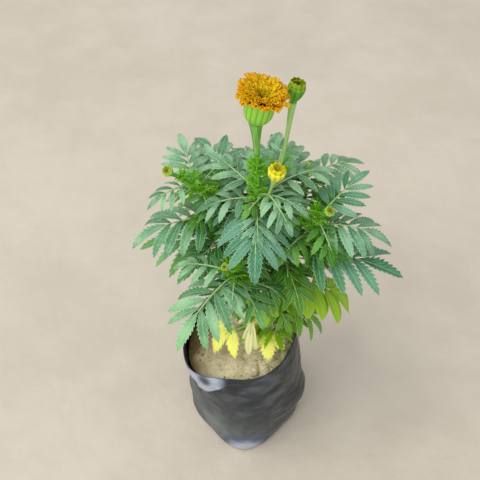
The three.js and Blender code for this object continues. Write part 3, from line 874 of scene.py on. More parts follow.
@dataclass
class Tree:
    """A node tree that is filled node by node."""

    tree: bpy.types.NodeTree

    @classmethod
    def material(cls, name: str) -> tuple[Material, "Tree", Node]:
        """Starts a material.

        Args:
            name: Its name.

        Returns:
            The material, its tree and its Principled shader, which is linked to the output.
        """
        material = bpy.data.materials.new(name)
        material.use_nodes = True
        material.node_tree.nodes.clear()
        tree = cls(material.node_tree)
        shader = tree.node("BsdfPrincipled")
        tree.node("OutputMaterial", {"Surface": shader.outputs["BSDF"]})
        return material, tree, shader

    def node(self, kind: str, inputs: Inputs | None = None, **settings: object) -> Node:
        """Adds a node.

        Args:
            kind: Its type, without the word that all shader nodes start with.
            inputs: Values for its inputs, or the sockets that they are linked from.
            settings: Its other settings.

        Returns:
            The node.
        """
        node = self.tree.nodes.new("ShaderNode" + kind)
        for key, value in settings.items():
            setattr(node, key, value)
        for key, value in (inputs or {}).items():
            self.feed(node.inputs[key], value)
        return node

    def feed(self, socket: Socket, value: object) -> None:
        """Links an input from another socket, or sets its value.

        Args:
            socket: The input.
            value: The other socket, or the value.
        """
        if isinstance(value, Socket):
            self.tree.links.new(value, socket)
        else:
            socket.default_value = (*value, 1.0) if socket.type == "RGBA" else value

    def effect(self, group: bpy.types.NodeTree, **inputs: object) -> Node:
        """Places an effect with its own values.

        Args:
            group: The effect's node group.
            inputs: Its inputs' values or the sockets that they are linked from.

        Returns:
            The group node.
        """
        return self.node("Group", inputs, node_tree=group)

    def math(self, operation: str, *values: object) -> Socket:
        """Returns the result of a Math node."""
        return self.node("Math", dict(enumerate(values)), operation=operation).outputs[0]

    def times(self, value: object, share: object) -> Socket:
        """Returns the product of two values."""
        return self.math("MULTIPLY", value, share)

    def vector(self, operation: str, *values: object) -> Node:
        """Returns a Vector Math node."""
        return self.node("VectorMath", dict(enumerate(values)), operation=operation)

    def ramp(self, value: object, low: float, high: float, start: float = 0, end: float = 1) -> Socket:
        """Maps a value smoothly from one range to another.

        Args:
            value: The value's socket.
            low: Where the value's range starts.
            high: Where it ends.
            start: The result at its start.
            end: The result at its end.

        Returns:
            The result's socket.
        """
        inputs = {"Value": value, "From Min": low, "From Max": high, "To Min": start, "To Max": end}
        return self.node("MapRange", inputs, interpolation_type="SMOOTHSTEP").outputs["Result"]

    def mix(self, share: object, low: object, high: object) -> Socket:
        """Returns a mix of two colours, with a share of the second one."""
        return self.node("Mix", {0: share, 6: low, 7: high}, data_type="RGBA").outputs[2]

    def cover(self, colour: object, layers: Sequence[tuple[object, Colour]]) -> Socket:
        """Lays colours over one another.

        Args:
            colour: The lowest one.
            layers: How much of each covers what lies below it, and its colour.

        Returns:
            The socket of the colour that shows.
        """
        for share, layer in layers:
            colour = self.mix(share, colour, layer)
        return colour

    def place(self) -> Socket:
        """Returns the object's own coordinates, in metres."""
        return self.node("TexCoord").outputs["Object"]

    def height(self) -> Socket:
        """Returns the object's own height coordinate, in metres."""
        return self.node("SeparateXYZ", {0: self.place()}).outputs["Z"]

    def noise(self, vector: object, scale: object, detail: float = 2.0) -> Socket:
        """Returns a noise pattern between 0 and 1."""
        return self.node("TexNoise", {"Vector": vector, "Scale": scale, "Detail": detail}).outputs["Fac"]

    def grown(self) -> Socket:
        """Returns the vector that a piece carries at its corners."""
        return self.node("Attribute", attribute_name="growth").outputs["Vector"]

    def growth(self) -> tuple[Socket, ...]:
        """Returns the three values of that vector."""
        return tuple(self.node("SeparateXYZ", {0: self.grown()}).outputs)

    def along_across(self) -> tuple[Socket, ...]:
        """Returns a blade's place from foot to tip, and from side to side."""
        uv = self.node("UVMap", uv_map="UVMap").outputs[0]
        return tuple(self.node("SeparateXYZ", {0: uv}).outputs)[:2]

    def aside(self, across: Socket) -> Socket:
        """Returns how far a place from side to side is from the middle, from 0 to 1."""
        return self.math("ABSOLUTE", self.math("MULTIPLY_ADD", across, 2.0, -1.0))

    def bump(self, height: object, depth: float) -> Socket:
        """Returns the normal of a relief whose depth is in metres."""
        return self.node("Bump", {"Height": height, "Distance": depth, "Strength": 1.0}).outputs["Normal"]


class Effects:
    """The node groups that several finishes share, and the materials that are made with them."""

    CROWN_CENTRE = (0.01, 0.0, 0.17)
    CROWN_SCALE = (10.5, 10.5, 10.0)
    SMALL_SHARE = 0.4
    MOTTLE_SPAN = (0.36, 0.64)
    STRAND_SPAN = (0.38, 0.62)
    STRAND_STRETCH = (1.0, 1.0, 0.25)
    MIDDLE_VEIN = (0.02, 0.1)
    SIDE_VEIN = (0.72, 1.0)
    SIDE_FADE = (0.5, 1.0, 0.6, 0.15)
    MARGIN = (0.78, 1.0)

    def __init__(self) -> None:
        """Builds each group once."""
        self.mottle = self.make_mottle()
        self.veins = self.make_veins()
        self.strands = self.make_strands()
        self.depth = self.make_depth()
        self.made: dict["Finish", Material] = {}

    def material(self, finish: "Finish") -> Material:
        """Makes a finish's material, or finds the one that was made before.

        Args:
            finish: The finish.

        Returns:
            Its material.
        """
        if finish not in self.made:
            self.made[finish] = finish.make(self)
        return self.made[finish]

    def patches(self, tree: Tree, scales: tuple[float, float]) -> Socket:
        """Returns uneven patches of two scales."""
        return tree.effect(self.mottle, Broad=scales[0], Small=scales[1]).outputs["Mask"]

    @staticmethod
    def start(name: str, inputs: dict[str, str], outputs: Sequence[str]) -> tuple[Tree, Node, Node]:
        """Starts a group.

        Args:
            name: Its name.
            inputs: The type of each input.
            outputs: The names of its outputs, which are all masks.

        Returns:
            Its tree, and the nodes of its inputs and outputs.
        """
        group = bpy.data.node_groups.new(name, "ShaderNodeTree")
        for key, kind in inputs.items():
            group.interface.new_socket(name=key, in_out="INPUT", socket_type="NodeSocket" + kind)
        for key in outputs:
            group.interface.new_socket(name=key, in_out="OUTPUT", socket_type="NodeSocketFloat")
        return Tree(group), group.nodes.new("NodeGroupInput"), group.nodes.new("NodeGroupOutput")

    def make_mottle(self) -> bpy.types.NodeTree:
        """Builds uneven patches of two sizes.

        Returns:
            The node group.
        """
        tree, given, result = self.start("mottle", {"Broad": "Float", "Small": "Float"}, ["Mask"])
        place = tree.place()
        broad = tree.noise(place, given.outputs["Broad"])
        small = tree.noise(place, given.outputs["Small"], 4)
        both = tree.math("MULTIPLY_ADD", small, self.SMALL_SHARE, tree.times(broad, 1 - self.SMALL_SHARE))
        tree.feed(result.inputs["Mask"], tree.ramp(both, *self.MOTTLE_SPAN))
        return tree.tree

    def make_veins(self) -> bpy.types.NodeTree:
        """Builds a blade's veins, which branch forward from its middle one, and its margin.

        Returns:
            The node group.
        """
        tree, given, result = self.start("veins", {"Pairs": "Float", "Lean": "Float"}, ["Veins", "Margin"])
        along, across = tree.along_across()
        aside = tree.aside(across)
        middle = tree.ramp(aside, *self.MIDDLE_VEIN, 1.0, 0.0)
        leaning = tree.times(aside, given.outputs["Lean"])
        phase = tree.math("SUBTRACT", tree.times(along, given.outputs["Pairs"]), leaning)
        side = tree.aside(tree.math("FRACT", phase))
        side = tree.times(tree.ramp(side, *self.SIDE_VEIN), tree.ramp(aside, *self.SIDE_FADE))
        tree.feed(result.inputs["Veins"], tree.math("MAXIMUM", middle, side))
        tree.feed(result.inputs["Margin"], tree.ramp(aside, *self.MARGIN))
        return tree.tree

    def make_strands(self) -> bpy.types.NodeTree:
        """Builds lengthwise streaks of a vector whose last value runs along the piece.

        Returns:
            The node group.
        """
        tree, given, result = self.start("strands", {"Vector": "Vector", "Fineness": "Float"}, ["Mask"])
        stretched = tree.vector("MULTIPLY", given.outputs["Vector"], self.STRAND_STRETCH).outputs[0]
        mask = tree.noise(stretched, given.outputs["Fineness"], 3)
        tree.feed(result.inputs["Mask"], tree.ramp(mask, *self.STRAND_SPAN))
        return tree.tree

    def make_depth(self) -> bpy.types.NodeTree:
        """Builds a mask of how deep within the crown a place lies, from 1 at Core down to 0 at Rim, by which
        leaves are given painted shade.

        Returns:
            The node group.
        """
        tree, given, result = self.start("depth", {"Core": "Float", "Rim": "Float"}, ["Mask"])
        away = tree.vector("SUBTRACT", tree.place(), self.CROWN_CENTRE).outputs[0]
        away = tree.vector("MULTIPLY", away, self.CROWN_SCALE).outputs[0]
        reach = tree.vector("LENGTH", away).outputs["Value"]
        core, rim = given.outputs["Core"], given.outputs["Rim"]
        tree.feed(result.inputs["Mask"], tree.ramp(reach, core, rim, 1.0, 0.0))
        return tree.tree


def surface(colour: object, roughness: object, normal: Socket, specular: float) -> Inputs:
    """Returns the inputs of a Principled shader that every finish gives."""
    return {"Base Color": colour, "Roughness": roughness, "Normal": normal, "Specular IOR Level": specular}


@dataclass(frozen=True)
class Finish:
    """How a material looks. Colours are linear, and scales are patterns to a metre."""

    name: str

    def look(self, tree: Tree, effects: Effects) -> Inputs:
        """Makes the nodes.

        Args:
            tree: The material's nodes.
            effects: The shared node groups.

        Returns:
            The shader's inputs.
        """
        raise NotImplementedError

    def make(self, effects: Effects) -> Material:
        """Makes the material.

        Args:
            effects: The shared node groups.

        Returns:
            The material.
        """
        material, tree, shader = Tree.material(self.name)
        for key, value in self.look(tree, effects).items():
            tree.feed(shader.inputs[key], value)
        return material


@dataclass(frozen=True)
class LeafFinish(Finish):
    """How leaves of one state look: cool, plain and warm tops and undersides, with painted shade deep in the
    crown, low down, at the leaflets' feet and on the undersides, and lighter margins that are a painted
    highlight on green leaves.
    """

    fresh: Colour
    deep: Colour
    cool: Colour
    warm: Colour
    # inner: painted shade, a darker and more saturated green deep within the crown
    inner: Colour
    # low: painted shade, a darker yellow-green low in the crown
    low: Colour
    # under: the underside's colour, darkened as painted shade
    under: Colour
    vein: Colour
    # margin: on green leaves a lighter colour that paints the highlight the edges catch; on dried leaves
    # their browner edge
    margin: Colour
    margin_share: float = 0.6
    # the foot layer: painted shade that darkens each leaflet towards the rib
    foot_share: float = 0.45
    vein_share: float = 0.5
    tone_share: float = 0.85
    under_share: float = 0.6
    crown_shade_share: float = 0.92
    shade_share: float = 0.75
    low_shade_share: float = 0.9
    low_shade_heights: tuple[float, float] = (0.14, 0.22)
    crown: tuple[float, float] = (0.55, 0.9)
    patch_scales: tuple[float, float] = (70.0, 420.0)
    patch_share: float = 0.4
    uneven_span: tuple[float, float] = (0.1, 0.8)
    foot_shade_span: tuple[float, float] = (0.05, 0.5)
    vein_pairs: float = 7.0
    vein_lean: float = 2.2
    grain_scale: float = 1500.0
    grain_share: float = 0.25
    roughness: tuple[float, float] = (0.4, 0.56)
    specular: float = 0.1
    relief: float = 0.00016

    def look(self, tree: Tree, effects: Effects) -> Inputs:
        """Colours a blade by its tone and its veins, with painted shade deep in the crown, low down, at its
        foot and on its underside, and a painted highlight on its margin.

        Args:
            tree: The material's nodes.
            effects: The shared node groups.

        Returns:
            The shader's inputs.
        """
        tint, tone, top = tree.growth()
        patches = effects.patches(tree, self.patch_scales)
        veins = tree.effect(effects.veins, Pairs=self.vein_pairs, Lean=self.vein_lean).outputs
        colour = tree.mix(tree.ramp(tone, 0.0, 0.5, self.tone_share, 0.0), self.fresh, self.cool)
        colour = tree.mix(tree.ramp(tone, 0.5, 1.0, 0.0, self.tone_share), colour, self.warm)
        uneven = tree.math("MULTIPLY_ADD", patches, self.patch_share, tree.times(tint, 1 - self.patch_share))
        along, _ = tree.along_across()
        depth = tree.effect(effects.depth, Core=self.crown[0], Rim=self.crown[1]).outputs["Mask"]
        low = tree.ramp(tree.height(), *self.low_shade_heights, self.low_shade_share, 0.0)
        layers = [
            (tree.ramp(uneven, *self.uneven_span, self.shade_share, 0.0), self.deep),
            # painted shade at each leaflet's foot, near the rib
            (tree.ramp(along, *self.foot_shade_span, self.foot_share, 0.0), self.deep),
            # painted shade deep within the crown
            (tree.times(depth, self.crown_shade_share), self.inner),
            # painted shade low in the crown
            (low, self.low),
            # painted highlight along the margins of green leaves
            (tree.times(veins["Margin"], self.margin_share), self.margin),
            (tree.times(veins["Veins"], self.vein_share), self.vein),
            # the underside's colour, darkened as painted shade
            (tree.times(tree.math("SUBTRACT", 1.0, top), self.under_share), self.under),
        ]
        colour = tree.cover(colour, layers)
        rough = tree.ramp(patches, 0, 1, *self.roughness)
        grain = tree.times(tree.noise(tree.place(), self.grain_scale, 3), self.grain_share)
        relief = tree.bump(tree.math("SUBTRACT", grain, veins["Veins"]), self.relief)
        return surface(colour, rough, relief, self.specular)


@dataclass(frozen=True)
class StemFinish(Finish):
    """How stems and leaf ribs look: reddish low on the plant, green above, and streaked lengthwise."""

    low: Colour
    middle: Colour
    high: Colour
    streak: Colour
    middle_heights: tuple[float, float] = (0.11, 0.2)
    high_heights: tuple[float, float] = (0.19, 0.27)
    unevenness: float = 0.03
    streak_share: float = 0.45
    patch_scales: tuple[float, float] = (60.0, 500.0)
    fineness: float = 4.5
    specular: float = 0.35
    roughness: tuple[float, float] = (0.42, 0.57)
    relief: float = 0.00015

    def look(self, tree: Tree, effects: Effects) -> Inputs:
        """Colours a stem by its height, and streaks it.

        Args:
            tree: The material's nodes.
            effects: The shared node groups.

        Returns:
            The shader's inputs.
        """
        streaks = tree.effect(effects.strands, Vector=tree.grown(), Fineness=self.fineness).outputs["Mask"]
        patches = effects.patches(tree, self.patch_scales)
        height = tree.math("MULTIPLY_ADD", patches, self.unevenness, tree.height())
        colour = tree.mix(tree.ramp(height, *self.middle_heights), self.low, self.middle)
        colour = tree.mix(tree.ramp(height, *self.high_heights), colour, self.high)
        colour = tree.mix(tree.times(streaks, self.streak_share), colour, self.streak)
        rough = tree.ramp(streaks, 0, 1, *self.roughness)
        return surface(colour, rough, tree.bump(streaks, self.relief), self.specular)


@dataclass(frozen=True)
class CupFinish(Finish):
    """How a head's ribbed green cup looks, from its grooves to its ribs and its teeth."""

    groove: Colour
    rib: Colour
    foot: Colour
    tooth: Colour
    foot_share: float = 0.75
    tooth_share: float = 0.8
    patch_scales: tuple[float, float] = (150.0, 900.0)
    patch_share: float = 0.21
    grain_scale: float = 1400.0
    rib_span: tuple[float, float] = (0.1, 0.75)
    foot_end: float = 0.4
    tooth_start: float = 0.78
    specular: float = 0.35
    roughness: tuple[float, float] = (0.4, 0.55)
    relief: float = 0.00012

    def look(self, tree: Tree, effects: Effects) -> Inputs:
        """Colours a cup by its ribs, and from its foot to its teeth.

        Args:
            tree: The material's nodes.
            effects: The shared node groups.

        Returns:
            The shader's inputs.
        """
        ridge, share, _ = tree.growth()
        patches = effects.patches(tree, self.patch_scales)
        layers = [
            (tree.ramp(ridge, *self.rib_span), self.rib),
            (tree.ramp(share, 0.0, self.foot_end, self.foot_share, 0.0), self.foot),
            (tree.ramp(share, self.tooth_start, 1.0, 0.0, self.tooth_share), self.tooth),
            (tree.times(patches, self.patch_share), self.groove),
        ]
        rough = tree.ramp(patches, 0, 1, *self.roughness)
        relief = tree.bump(tree.noise(tree.place(), self.grain_scale, 3), self.relief)
        return surface(tree.cover(self.groove, layers), rough, relief, self.specular)


@dataclass(frozen=True)
class PetalFinish(Finish):
    """How petals look, from the head's middle to its edge, from foot to tip, and on their undersides. Their
    darker feet are partly their own deeper colour and partly painted shade between the petals.
    """

    middle: Colour
    body: Colour
    edge: Colour
    foot: Colour
    tip: Colour
    under: Colour
    foot_share: float = 0.9
    tip_share: float = 0.55
    streak_share: float = 0.3
    under_share: float = 0.55
    streak_scale: float = 7.0
    fineness: float = 2.2
    middle_end: float = 0.42
    edge_start: float = 0.45
    edge_share: float = 0.75
    tint_share: float = 0.35
    foot_end: float = 0.55
    rim_start: float = 0.55
    tip_start: float = 0.8
    specular: float = 0.2
    roughness: tuple[float, float] = (0.5, 0.7)
    relief: float = 0.0002

    def look(self, tree: Tree, effects: Effects) -> Inputs:
        """Colours a petal by its place in the head, its length, its rim and its side.

        Args:
            tree: The material's nodes.
            effects: The shared node groups.

        Returns:
            The shader's inputs.
        """
        share, tint, top = tree.growth()
        along, across = tree.along_across()
        parts = {0: tree.times(across, self.streak_scale), 1: tint, 2: along}
        place = tree.node("CombineXYZ", parts).outputs[0]
        streaks = tree.effect(effects.strands, Vector=place, Fineness=self.fineness).outputs["Mask"]
        outer = tree.ramp(share, self.edge_start, 1.0, 0.0, self.edge_share)
        sides = tree.ramp(tree.aside(across), self.rim_start, 1.0)
        rim = tree.math("MAXIMUM", sides, tree.ramp(along, self.tip_start, 1.0))
        layers = [
            (tree.ramp(share, 0.0, self.middle_end), self.body),
            (tree.math("MULTIPLY_ADD", tint, self.tint_share, outer), self.edge),
            # darker feet: partly the petals' own deeper colour, partly painted shade between them
            (tree.ramp(along, 0.0, self.foot_end, self.foot_share, 0.0), self.foot),
            (tree.times(rim, self.tip_share), self.tip),
            (tree.times(streaks, self.streak_share), self.foot),
            (tree.times(tree.math("SUBTRACT", 1.0, top), self.under_share), self.under),
        ]
        rough = tree.ramp(streaks, 0, 1, *self.roughness)
        colour = tree.cover(self.middle, layers)
        return surface(colour, rough, tree.bump(streaks, self.relief), self.specular)


@dataclass(frozen=True)
class FilmFinish(Finish):
    """How the bag's black film looks: creased, dusty low down, with painted highlights on its creases and in
    streaks, a painted sky reflection on its folded lip that is partly its lighter inner face, and a pale
    front corner.
    """

    name: str = "bag_film"
    black: Colour = (0.01, 0.012, 0.016)
    # painted highlight: lighter grey on the raised creases, mixed with random patches
    gleam: Colour = (0.034, 0.041, 0.05)
    dust: Colour = (0.165, 0.19, 0.185)
    # blue and pale: the painted sky reflection on the folded lip, pale partly the film's lighter inner face
    # and blue at its edges; pale also marks the front corner
    blue: Colour = (0.04, 0.065, 0.13)
    pale: Colour = (0.4, 0.45, 0.53)
    # lighter horizontal streaks: painted highlights on the film's wrinkles
    streak_highlight: Colour = (0.092, 0.11, 0.125)
    patch_scales: tuple[float, float] = (30.0, 160.0)
    wrinkle_stretch: tuple[float, float, float] = (1.0, 1.0, 2.4)
    wrinkle_scale: float = 48.0
    streak_highlight_scale: float = 34.0
    pale_patch_scale: float = 90.0
    crease_share: float = 0.5
    patch_share: float = 0.4
    patch_relief: float = 0.2
    streak_highlight_span: tuple[float, float] = (0.48, 0.72)
    streak_highlight_share: float = 0.8
    least_dust: float = 0.6
    blue_span: tuple[float, float] = (0.05, 0.5)
    blue_share: float = 0.8
    pale_span: tuple[float, float] = (0.25, 0.95)
    specular: float = 0.3
    roughness: tuple[float, float] = (0.3, 0.59)
    relief: float = 0.002
    coat: float = 0.08
    coat_roughness: float = 0.25

    def look(self, tree: Tree, effects: Effects) -> Inputs:
        """Colours the film by its dust, with painted highlights on its creases and in streaks, a painted
        reflection on its lip and a pale front corner.

        Args:
            tree: The material's nodes.
            effects: The shared node groups.

        Returns:
            The shader's inputs.
        """
        dusty, paleness, crease = tree.growth()
        patches = effects.patches(tree, self.patch_scales)
        wrinkles = tree.vector("MULTIPLY", tree.place(), self.wrinkle_stretch).outputs[0]
        uneven = tree.math("ADD", tree.noise(tree.place(), self.pale_patch_scale, 3), 0.5)
        pale_patches = tree.times(paleness, uneven)
        gleam = tree.math("MULTIPLY_ADD", crease, self.crease_share, tree.times(patches, self.patch_share))
        streak_highlights = tree.noise(wrinkles, self.streak_highlight_scale, 5)
        layers = [
            # painted highlight on the raised creases, with random patches
            (gleam, self.gleam),
            # painted highlights in horizontal streaks
            (tree.ramp(streak_highlights, *self.streak_highlight_span, 0.0, self.streak_highlight_share), self.streak_highlight),
            (tree.times(dusty, tree.ramp(patches, 0, 1, self.least_dust, 1.0)), self.dust),
            # painted reflection on the lip, blue at its edges, and the pale front corner
            (tree.ramp(pale_patches, *self.blue_span, 0.0, self.blue_share), self.blue),
            (tree.ramp(pale_patches, *self.pale_span), self.pale),
        ]
        rough = tree.ramp(dusty, 0, 1, *self.roughness)
        grain = tree.noise(wrinkles, self.wrinkle_scale, 3)
        grain = tree.math("MULTIPLY_ADD", patches, self.patch_relief, grain)
        coat = {"Coat Weight": self.coat, "Coat Roughness": self.coat_roughness}
        colour = tree.cover(self.black, layers)
        return surface(colour, rough, tree.bump(grain, self.relief), self.specular) | coat


@dataclass(frozen=True)
class SoilFinish(Finish):
    """How dry, sandy soil looks, and its darker patches: damp at random, and painted shade."""

    name: str = "dry_soil"
    dry: Colour = (0.98, 0.89, 0.59)
    tan: Colour = (0.78, 0.65, 0.4)
    # the darker colour of damp patches and of painted shade
    damp_and_shade: Colour = (0.12, 0.085, 0.03)
    patch_scales: tuple[float, float] = (55.0, 480.0)
    grains: tuple[tuple[float, float], ...] = ((900.0, 6.0), (260.0, 4.0))
    tint_share: float = 0.3
    specular: float = 0.2
    roughness: float = 0.92
    relief: float = 0.0012

    def look(self, tree: Tree, effects: Effects) -> Inputs:
        """Colours the soil by its grains, and darkens it by its damp patches and its painted shade.

        Args:
            tree: The material's nodes.
            effects: The shared node groups.

        Returns:
            The shader's inputs.
        """
        damp_and_shade, tint, _ = tree.growth()
        patches = effects.patches(tree, self.patch_scales)
        light = tree.math("MULTIPLY_ADD", tint, self.tint_share, tree.times(patches, 1 - self.tint_share))
        colour = tree.cover(self.tan, [(light, self.dry), (damp_and_shade, self.damp_and_shade)])
        fine, broad = (tree.noise(tree.place(), *grain) for grain in self.grains)
        relief = tree.bump(tree.math("ADD", fine, broad), self.relief)
        return surface(colour, self.roughness, relief, self.specular)


@dataclass(frozen=True)
class FloorFinish(Finish):
    """How the plain pale floor looks."""

    name: str = "pale_floor"
    light: Colour = (0.66, 0.59, 0.49)
    shade: Colour = (0.6, 0.53, 0.435)
    patch_scales: tuple[float, float] = (5.0, 22.0)
    grain_scale: float = 60.0
    specular: float = 0.2
    roughness: float = 0.9
    relief: float = 0.001

    def look(self, tree: Tree, effects: Effects) -> Inputs:
        """Colours the floor in faint patches.

        Args:
            tree: The material's nodes.
            effects: The shared node groups.

        Returns:
            The shader's inputs.
        """
        colour = tree.mix(effects.patches(tree, self.patch_scales), self.light, self.shade)
        grain = tree.noise(tree.place(), self.grain_scale, 5)
        return surface(colour, self.roughness, tree.bump(grain, self.relief), self.specular)


LEAF_FINISHES = {
    Habit.GREEN: LeafFinish(
        "leaf_green", (0.31, 0.54, 0.31), (0.014, 0.14, 0.045), (0.06, 0.24, 0.17), (0.2, 0.51, 0.11),
        (0.01, 0.16, 0.001), (0.15, 0.36, 0.004), (0.12, 0.36, 0.05), (0.5, 0.7, 0.42), (0.52, 0.74, 0.5),
    ),
    Habit.SHADED: LeafFinish(
        "leaf_shaded", (0.14, 0.37, 0.07), (0.006, 0.11, 0.002), (0.06, 0.27, 0.1), (0.13, 0.4, 0.01),
        (0.008, 0.12, 0.001), (0.2, 0.4, 0.002), (0.07, 0.25, 0.006), (0.3, 0.54, 0.05), (0.32, 0.56, 0.09),
    ),
    Habit.OLD: LeafFinish(
        "leaf_aging", (0.5, 0.7, 0.12), (0.15, 0.38, 0.05), (0.26, 0.52, 0.06), (0.6, 0.72, 0.1),
        (0.14, 0.36, 0.01), (0.34, 0.58, 0.03), (0.4, 0.56, 0.08), (0.56, 0.7, 0.2), (0.62, 0.7, 0.1),
        margin_share=0.4,
    ),
    Habit.YELLOW: LeafFinish(
        "leaf_yellowed", (0.95, 0.95, 0.2), (0.74, 0.84, 0.09), (0.62, 0.8, 0.09), (0.95, 0.9, 0.22),
        (0.7, 0.78, 0.07), (0.92, 0.93, 0.17), (0.84, 0.88, 0.2), (0.96, 0.96, 0.5), (0.93, 0.88, 0.34),
        vein_share=0.3,
    ),
    Habit.DRIED: LeafFinish(
        "leaf_dry", (0.86, 0.86, 0.5), (0.66, 0.68, 0.26), (0.6, 0.66, 0.2), (0.8, 0.74, 0.36),
        (0.6, 0.62, 0.3), (0.8, 0.82, 0.4), (0.82, 0.8, 0.5), (0.66, 0.6, 0.26), (0.55, 0.47, 0.16),
        roughness=(0.64, 0.8),
    ),
    Habit.YOUNG: LeafFinish(
        "leaf_young", (0.2, 0.6, 0.014), (0.02, 0.24, 0.003), (0.08, 0.42, 0.01), (0.34, 0.7, 0.02),
        (0.06, 0.36, 0.004), (0.16, 0.46, 0.006), (0.14, 0.46, 0.01), (0.38, 0.7, 0.05), (0.34, 0.68, 0.04),
        crown_shade_share=0.5,
    ),
}
STEM_FINISH = StemFinish(
    "stem_skin", (0.16, 0.11, 0.03), (0.13, 0.27, 0.015), (0.08, 0.3, 0.015), (0.42, 0.64, 0.24)
)
STALK_FINISH = StemFinish(
    "stalk_skin", (0.2, 0.24, 0.06), (0.28, 0.5, 0.1), (0.26, 0.5, 0.1), (0.56, 0.74, 0.34)
)
RIB_FINISH = StemFinish(
    "leaf_rib", (0.24, 0.34, 0.05), (0.26, 0.46, 0.1), (0.28, 0.5, 0.17), (0.42, 0.6, 0.3)
)
PALE_CUP = CupFinish(
    "head_cup", (0.15, 0.4, 0.02), (0.3, 0.6, 0.06), (0.17, 0.45, 0.05), (0.46, 0.66, 0.12)
)
DARK_CUP = CupFinish(
    "bud_cup", (0.04, 0.17, 0.005), (0.1, 0.32, 0.012), (0.12, 0.34, 0.03), (0.2, 0.4, 0.015)
)
GOLD_CUP = CupFinish(
    "gold_cup", (0.4, 0.46, 0.015), (0.82, 0.78, 0.05), (0.34, 0.58, 0.08), (0.95, 0.86, 0.03)
)
# The bloom's dark olive middle is its unopened florets' green, darkened as painted shade in the dimple.
BLOOM_PETALS = PetalFinish(
    "bloom_petal", (0.12, 0.19, 0.003), (0.98, 0.76, 0.004), (0.97, 0.46, 0.001),
    (0.42, 0.12, 0.001), (0.99, 0.74, 0.01), (0.82, 0.3, 0.001),
)
GREEN_PETALS = PetalFinish(
    "bud_petal_green", (0.07, 0.12, 0.004), (0.3, 0.4, 0.01), (0.4, 0.48, 0.012),
    (0.07, 0.16, 0.004), (0.62, 0.6, 0.03), (0.26, 0.4, 0.015),
)
YELLOW_PETALS = PetalFinish(
    "bud_petal_yellow", (0.03, 0.08, 0.003), (0.9, 0.76, 0.008), (0.94, 0.84, 0.015),
    (0.56, 0.5, 0.006), (0.97, 0.9, 0.06), (0.7, 0.66, 0.015),
)
PALE_PETALS = PetalFinish(
    "bud_petal_pale", (0.42, 0.16, 0.008), (0.52, 0.55, 0.05), (0.52, 0.58, 0.08),
    (0.34, 0.3, 0.012), (0.66, 0.66, 0.14), (0.4, 0.52, 0.06),
)


def enrol(piece: Object, slot: str, *nodes: str) -> Object:
    """Gives a piece its body, and hides the frame's nodes that it stands for.

    Args:
        piece: The finished piece.
        slot: The record's material slot; not used.
        nodes: The frame's nodes that it replaces.

    Returns:
        The piece.
    """
    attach(piece, "root")
    if nodes:
        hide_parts(*nodes)
    LOG.info("%s: %d corners, %d faces", piece.name, len(piece.data.vertices), len(piece.data.polygons))
    return piece


def rough(points: np.ndarray, scale: float, octaves: int = 2) -> np.ndarray:
    """Gives smooth chance at points.

    Args:
        points: The points, in millimetres.
        scale: How many of the pattern's cells lie in a millimetre.
        octaves: How many finer patterns are added.

    Returns:
        Values of about -1 to 1.
    """
    return np.array([noise.fractal(Vector(p) * scale, 1.0, 2.0, octaves) for p in points])


@dataclass(frozen=True)
class Spot:
    """A soft patch on the bag's side, by degrees about the bag and millimetres up it, and its strength."""

    azimuth: float
    spread: float
    level: float
    half_height: float
    slope: float = 0.0
    strength: float = 1.0

    def share(self, angle: np.ndarray, level: np.ndarray) -> np.ndarray:
        """Tells how strong the patch is.

        Args:
            angle: The angles of the places, in radians.
            level: Their levels.

        Returns:
            Its strength at each.
        """
        away = off(angle, self.azimuth)
        above = level - self.level - self.slope * away
        return self.strength * hump(away, math.radians(self.spread)) * hump(above, self.half_height)


@dataclass(frozen=True)
class Lobe:
    """A part of the bag's round that stands out, or in where its reach is negative, by degrees about it."""

    azimuth: float
    spread: float
    reach: float

    def near(self, angle: np.ndarray) -> np.ndarray:
        """Returns how near angles about the bag are to the lobe's middle, from 1 down to 0."""
        return hump(off(angle, self.azimuth), math.radians(self.spread))

    def out(self, angle: np.ndarray) -> np.ndarray:
        """Returns how far the lobe stands out at angles about the bag."""
        return self.reach * self.near(angle)


